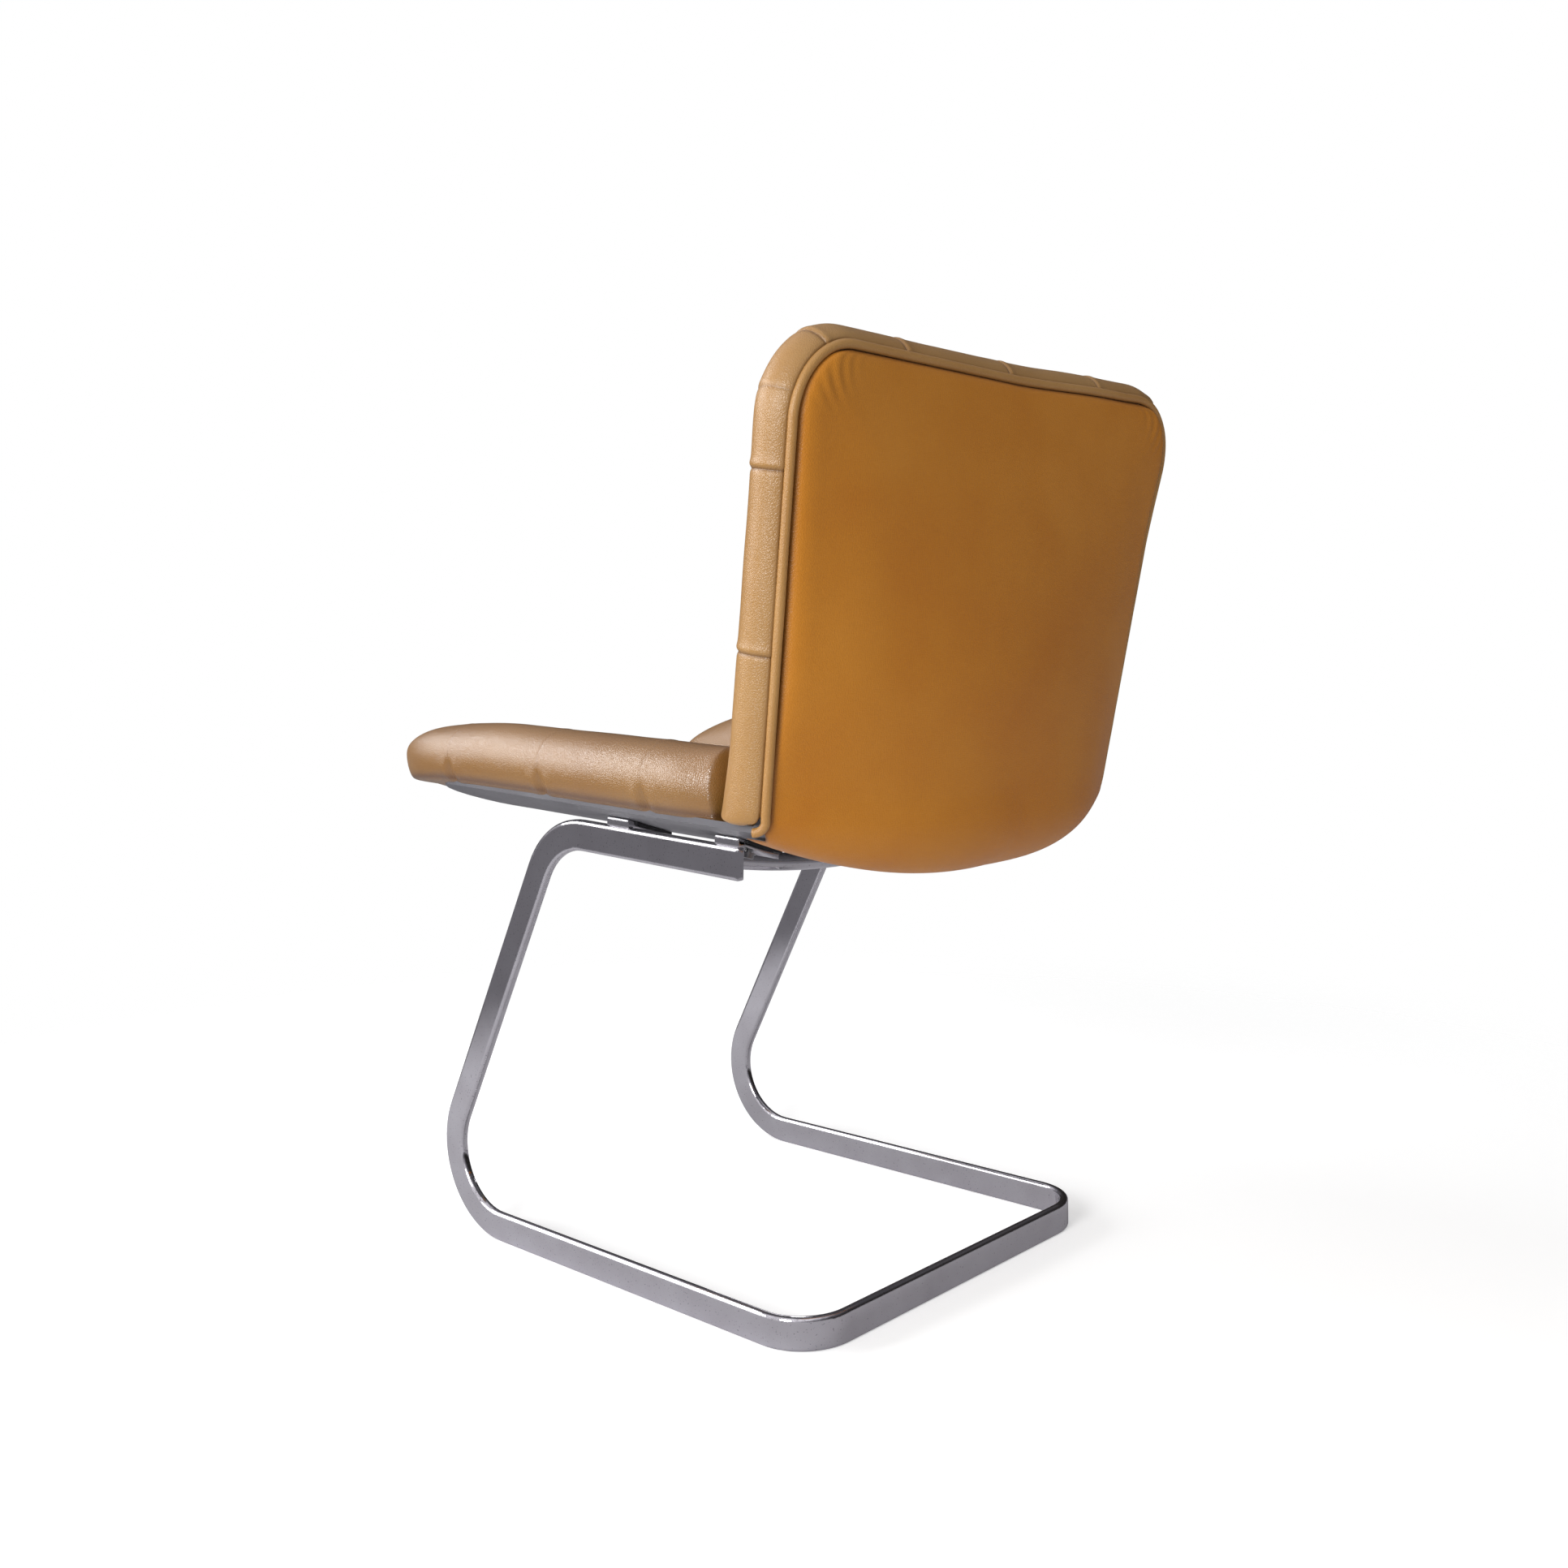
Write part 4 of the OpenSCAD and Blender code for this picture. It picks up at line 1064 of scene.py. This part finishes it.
# Glass-filled polyester, moulded and lacquered: grey, satin, a little uneven like orange peel
def mouldedShell():
    name = "lacquered polyester moulding"
    tones = ((0.3, "#5c5b60"), (0.7, "#69686d"))
    material, tree, shader, place, haze = mottled(name, 16.0, 5.0, tones, 0.0, 0.4)
    rough = addNode(tree, "ShaderNodeMapRange", {"To Min": 0.3, "To Max": 0.46},
                    {"Value": haze.outputs["Fac"]})
    tree.links.new(rough.outputs["Result"], shader.inputs["Roughness"])
    peel = addNode(tree, "ShaderNodeTexNoise", {"Scale": 330.0, "Detail": 2.0}, {"Vector": place})
    bump = addNode(tree, "ShaderNodeBump", {"Strength": 0.08, "Distance": 0.0003},
                   {"Height": peel.outputs["Fac"]})
    tree.links.new(bump.outputs["Normal"], shader.inputs["Normal"])
    return material


def dress(node, material):
    target = frame["nodes"][node]
    if not target.material_slots:
        target.data.materials.append(material)
    for slot in target.material_slots:
        slot.material = material


# One cowhide in four copies whose tans paint the light each part gets: the seat copy darker to offset the
# light from above, the back copy lighter, the rear panel copy deeper and more saturated, the welt between
# them
seatLeather = aniline("semi-aniline cowhide, seat", ("#845a25", "#8a612b", "#916831"), 0.30, 1.0)
backLeather = aniline("semi-aniline cowhide, back and sides", ("#a1753b", "#a97d43", "#b0864d"), 0.36, 0.7)
rearLeather = aniline("semi-aniline cowhide, rear panel", ("#bb7112", "#c27a18", "#c98221"), 0.40, 0.4)
weltLeather = aniline("semi-aniline cowhide, welt", ("#a8773a", "#b18143", "#b98c50"), 0.40, 0.6)
chrome = polishedChrome()
zinc = zincPlate()
rubber = mouldedRubber()
for nodeName in ("frame_bar", "cross_bar"):
    dress(nodeName, chrome)
for corner in ("front_left", "front_right", "rear_left", "rear_right"):
    dress(corner + "_bracket", chrome)
    dress(corner + "_pad", rubber)
dress("shell_screws", zinc)
dress("shell_washers", zinc)
dress("shell_inserts", turnedBrass())
dress("seat_shell", mouldedShell())
print("materials made")

pieces = (
    (buildSeat, seatLeather, "leather", ("seat_cover", "seat_foam")),
    (buildBack, backLeather, "leather", ("back_cover", "back_foam")),
    (buildPanel, rearLeather, "rear_leather", ("rear_panel", "rear_felt")),
    (buildWelt, weltLeather, "rear_leather", ("back_welt",)),
)
for build, finish, slotName, solids in pieces:
    piece = build()
    piece.data.materials.append(finish)
    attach(piece, body)
    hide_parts(*solids)
    print("built", piece.name)


# Studio floor: matt white paint that keeps the shadow and fades out away from the chair

paint = {
    "half": 6,
    "tone": "#f6f6f6",
    "toneInChrome": "#bebcc2",
    "roughness": 0.9,
    "glow": 0.36,
    "fadeFrom": 0.7,
    "fadeTo": 1.4,
}


def layFloor():
    h = paint["half"]
    mesh = bpy.data.meshes.new("floor")
    mesh.from_pydata([(-h, -h, 0), (h, -h, 0), (h, h, 0), (-h, h, 0)], [], [(0, 1, 2, 3)])
    floor = bpy.data.objects.new("floor", mesh)
    bpy.context.scene.collection.objects.link(floor)
    material, tree, shader = startMaterial("matt white floor paint")
    shader.inputs["Roughness"].default_value = paint["roughness"]
    place = addNode(tree, "ShaderNodeTexCoord").outputs["Object"]
    fromChair = addNode(tree, "ShaderNodeVectorMath", {"operation": "LENGTH"}, {"Vector": place})
    rays = addNode(tree, "ShaderNodeLightPath")
    tone = addNode(tree, "ShaderNodeMix",
                   {"data_type": "RGBA", 6: linearColor(paint["tone"]),
                    7: linearColor(paint["toneInChrome"])}, {0: rays.outputs["Is Glossy Ray"]})
    tree.links.new(tone.outputs[2], shader.inputs["Base Color"])
    glow = addNode(tree, "ShaderNodeMath", {"operation": "MULTIPLY", 1: paint["glow"]},
                   {0: rays.outputs["Is Camera Ray"]})
    tree.links.new(glow.outputs[0], shader.inputs["Emission Strength"])
    shader.inputs["Emission Color"].default_value = (1, 1, 1, 1)
    fade = addNode(tree, "ShaderNodeMapRange",
                   {"From Min": paint["fadeFrom"], "From Max": paint["fadeTo"],
                    "interpolation_type": "SMOOTHSTEP"}, {"Value": fromChair.outputs["Value"]})
    gone = addNode(tree, "ShaderNodeBsdfTransparent")
    mixed = addNode(tree, "ShaderNodeMixShader", None,
                    {"Fac": fade.outputs["Result"], 1: shader.outputs["BSDF"], 2: gone.outputs["BSDF"]})
    tree.links.new(mixed.outputs["Shader"], tree.nodes["Material Output"].inputs["Surface"])
    mesh.materials.append(material)


# Studio room: white to the camera, and in the chrome a dark, uneven room with one bright window

room = {
    "strength": 0.48,
    "window": (0.6, -0.2, 0.775),
    "stops": ((0.0, "#1e1c1b"), (0.45, "#343131"), (0.66, "#77757c"), (0.84, "#fbf8ff")),
    "clutter": 11.0,
    "clutterDetail": 1.5,
    "clutterFrom": (0.35, 0.65),
    "clutterTo": (0.4, 1.45),
    "farFloor": "#7b797e",
    "horizon": (0.02, -0.06),
}


def lightRoom():
    world = bpy.data.worlds.new("white studio")
    bpy.context.scene.world = world
    world.use_nodes = True
    tree = world.node_tree
    tree.nodes.clear()
    rays = addNode(tree, "ShaderNodeLightPath")
    direction = addNode(tree, "ShaderNodeTexCoord").outputs["Generated"]
    toWindow = addNode(tree, "ShaderNodeVectorMath", {"operation": "DOT_PRODUCT", 1: room["window"]},
                       {0: direction})
    share = addNode(tree, "ShaderNodeMapRange", {"From Min": -1.0, "From Max": 1.0},
                    {"Value": toWindow.outputs["Value"]})
    walls = addNode(tree, "ShaderNodeValToRGB", {"stops": room["stops"]}, {"Fac": share.outputs[0]})
    clutter = addNode(tree, "ShaderNodeTexNoise",
                      {"Scale": room["clutter"], "Detail": room["clutterDetail"]}, {"Vector": direction})
    shading = addNode(tree, "ShaderNodeMapRange",
                      {"From Min": room["clutterFrom"][0], "From Max": room["clutterFrom"][1],
                       "To Min": room["clutterTo"][0], "To Max": room["clutterTo"][1]},
                      {"Value": clutter.outputs["Fac"]})
    shaded = addNode(tree, "ShaderNodeVectorMath", {"operation": "SCALE"},
                     {0: walls.outputs["Color"], "Scale": shading.outputs["Result"]})
    height = addNode(tree, "ShaderNodeSeparateXYZ", None, {"Vector": direction}).outputs["Z"]
    below = addNode(tree, "ShaderNodeMapRange",
                    {"From Min": room["horizon"][0], "From Max": room["horizon"][1]}, {"Value": height})
    around = addNode(tree, "ShaderNodeMix", {"data_type": "RGBA", 7: linearColor(room["farFloor"])},
                     {0: below.outputs["Result"], 6: shaded.outputs["Vector"]})
    tone = addNode(tree, "ShaderNodeMix", {"data_type": "RGBA", 6: (1, 1, 1, 1)},
                   {0: rays.outputs["Is Glossy Ray"], 7: around.outputs[2]})
    seen = addNode(tree, "ShaderNodeMath", {"operation": "MAXIMUM"},
                   {0: rays.outputs["Is Camera Ray"], 1: rays.outputs["Is Glossy Ray"]})
    strength = addNode(tree, "ShaderNodeMapRange", {"To Min": room["strength"], "To Max": 1.0},
                       {"Value": seen.outputs[0]})
    sky = addNode(tree, "ShaderNodeBackground", None,
                  {"Color": tone.outputs[2], "Strength": strength.outputs["Result"]})
    addNode(tree, "ShaderNodeOutputWorld", None, {"Surface": sky.outputs["Background"]})


# Studio lamps: name, place, size across and power

lamps = (
    ("tall window ahead of the seat", (1.1, -2.5, 2.2), 1.4, 26),
    ("second window, to its side", (2.3, -2.2, 1.3), 1.8, 38),
    ("fill beside the camera", (2.75, 0.6, 1.2), 1.2, 50),
)
lampTarget = Vector((0, 0, 0.4))


def hangLamps():
    for name, place, size, power in lamps:
        lamp = bpy.data.lights.new(name, "AREA")
        lamp.shape = "DISK"
        lamp.size = size
        lamp.energy = power
        holder = bpy.data.objects.new(name, lamp)
        holder.location = place
        holder.rotation_euler = (lampTarget - Vector(place)).to_track_quat("-Z", "Y").to_euler()
        bpy.context.scene.collection.objects.link(holder)


# Camera, as recovered from the photo: place in millimetres, turns in degrees, lens in millimetres

viewpoint = {
    "place": (973.3, 727.3 + chair["shift"], 502.4),
    "yaw": 133.3,
    "pitch": 4.08,
    "roll": -1.34,
    "lens": 34.57,
    "sensor": 36,
}


def placeCamera():
    yaw, pitch, roll = (radians(viewpoint[k]) for k in ("yaw", "pitch", "roll"))
    away = Vector((sin(yaw) * cos(pitch), -cos(yaw) * cos(pitch), sin(pitch)))
    right = (-away).cross(Vector((0, 0, 1))).normalized()
    upward = right.cross(-away)
    rightTurned = right * cos(roll) + upward * sin(roll)
    upTurned = upward * cos(roll) - right * sin(roll)
    cameraData = bpy.data.cameras.new("camera")
    cameraData.sensor_width = viewpoint["sensor"]
    cameraData.lens = viewpoint["lens"]
    camera = bpy.data.objects.new("camera", cameraData)
    turned = Matrix((rightTurned, upTurned, away)).transposed().to_4x4()
    camera.matrix_world = Matrix.Translation([c / 1000 for c in viewpoint["place"]]) @ turned
    bpy.context.scene.collection.objects.link(camera)
    bpy.context.scene.camera = camera


layFloor()
lightRoom()
hangLamps()
placeCamera()
bpy.context.scene.view_settings.view_transform = "Standard"
print("studio set")
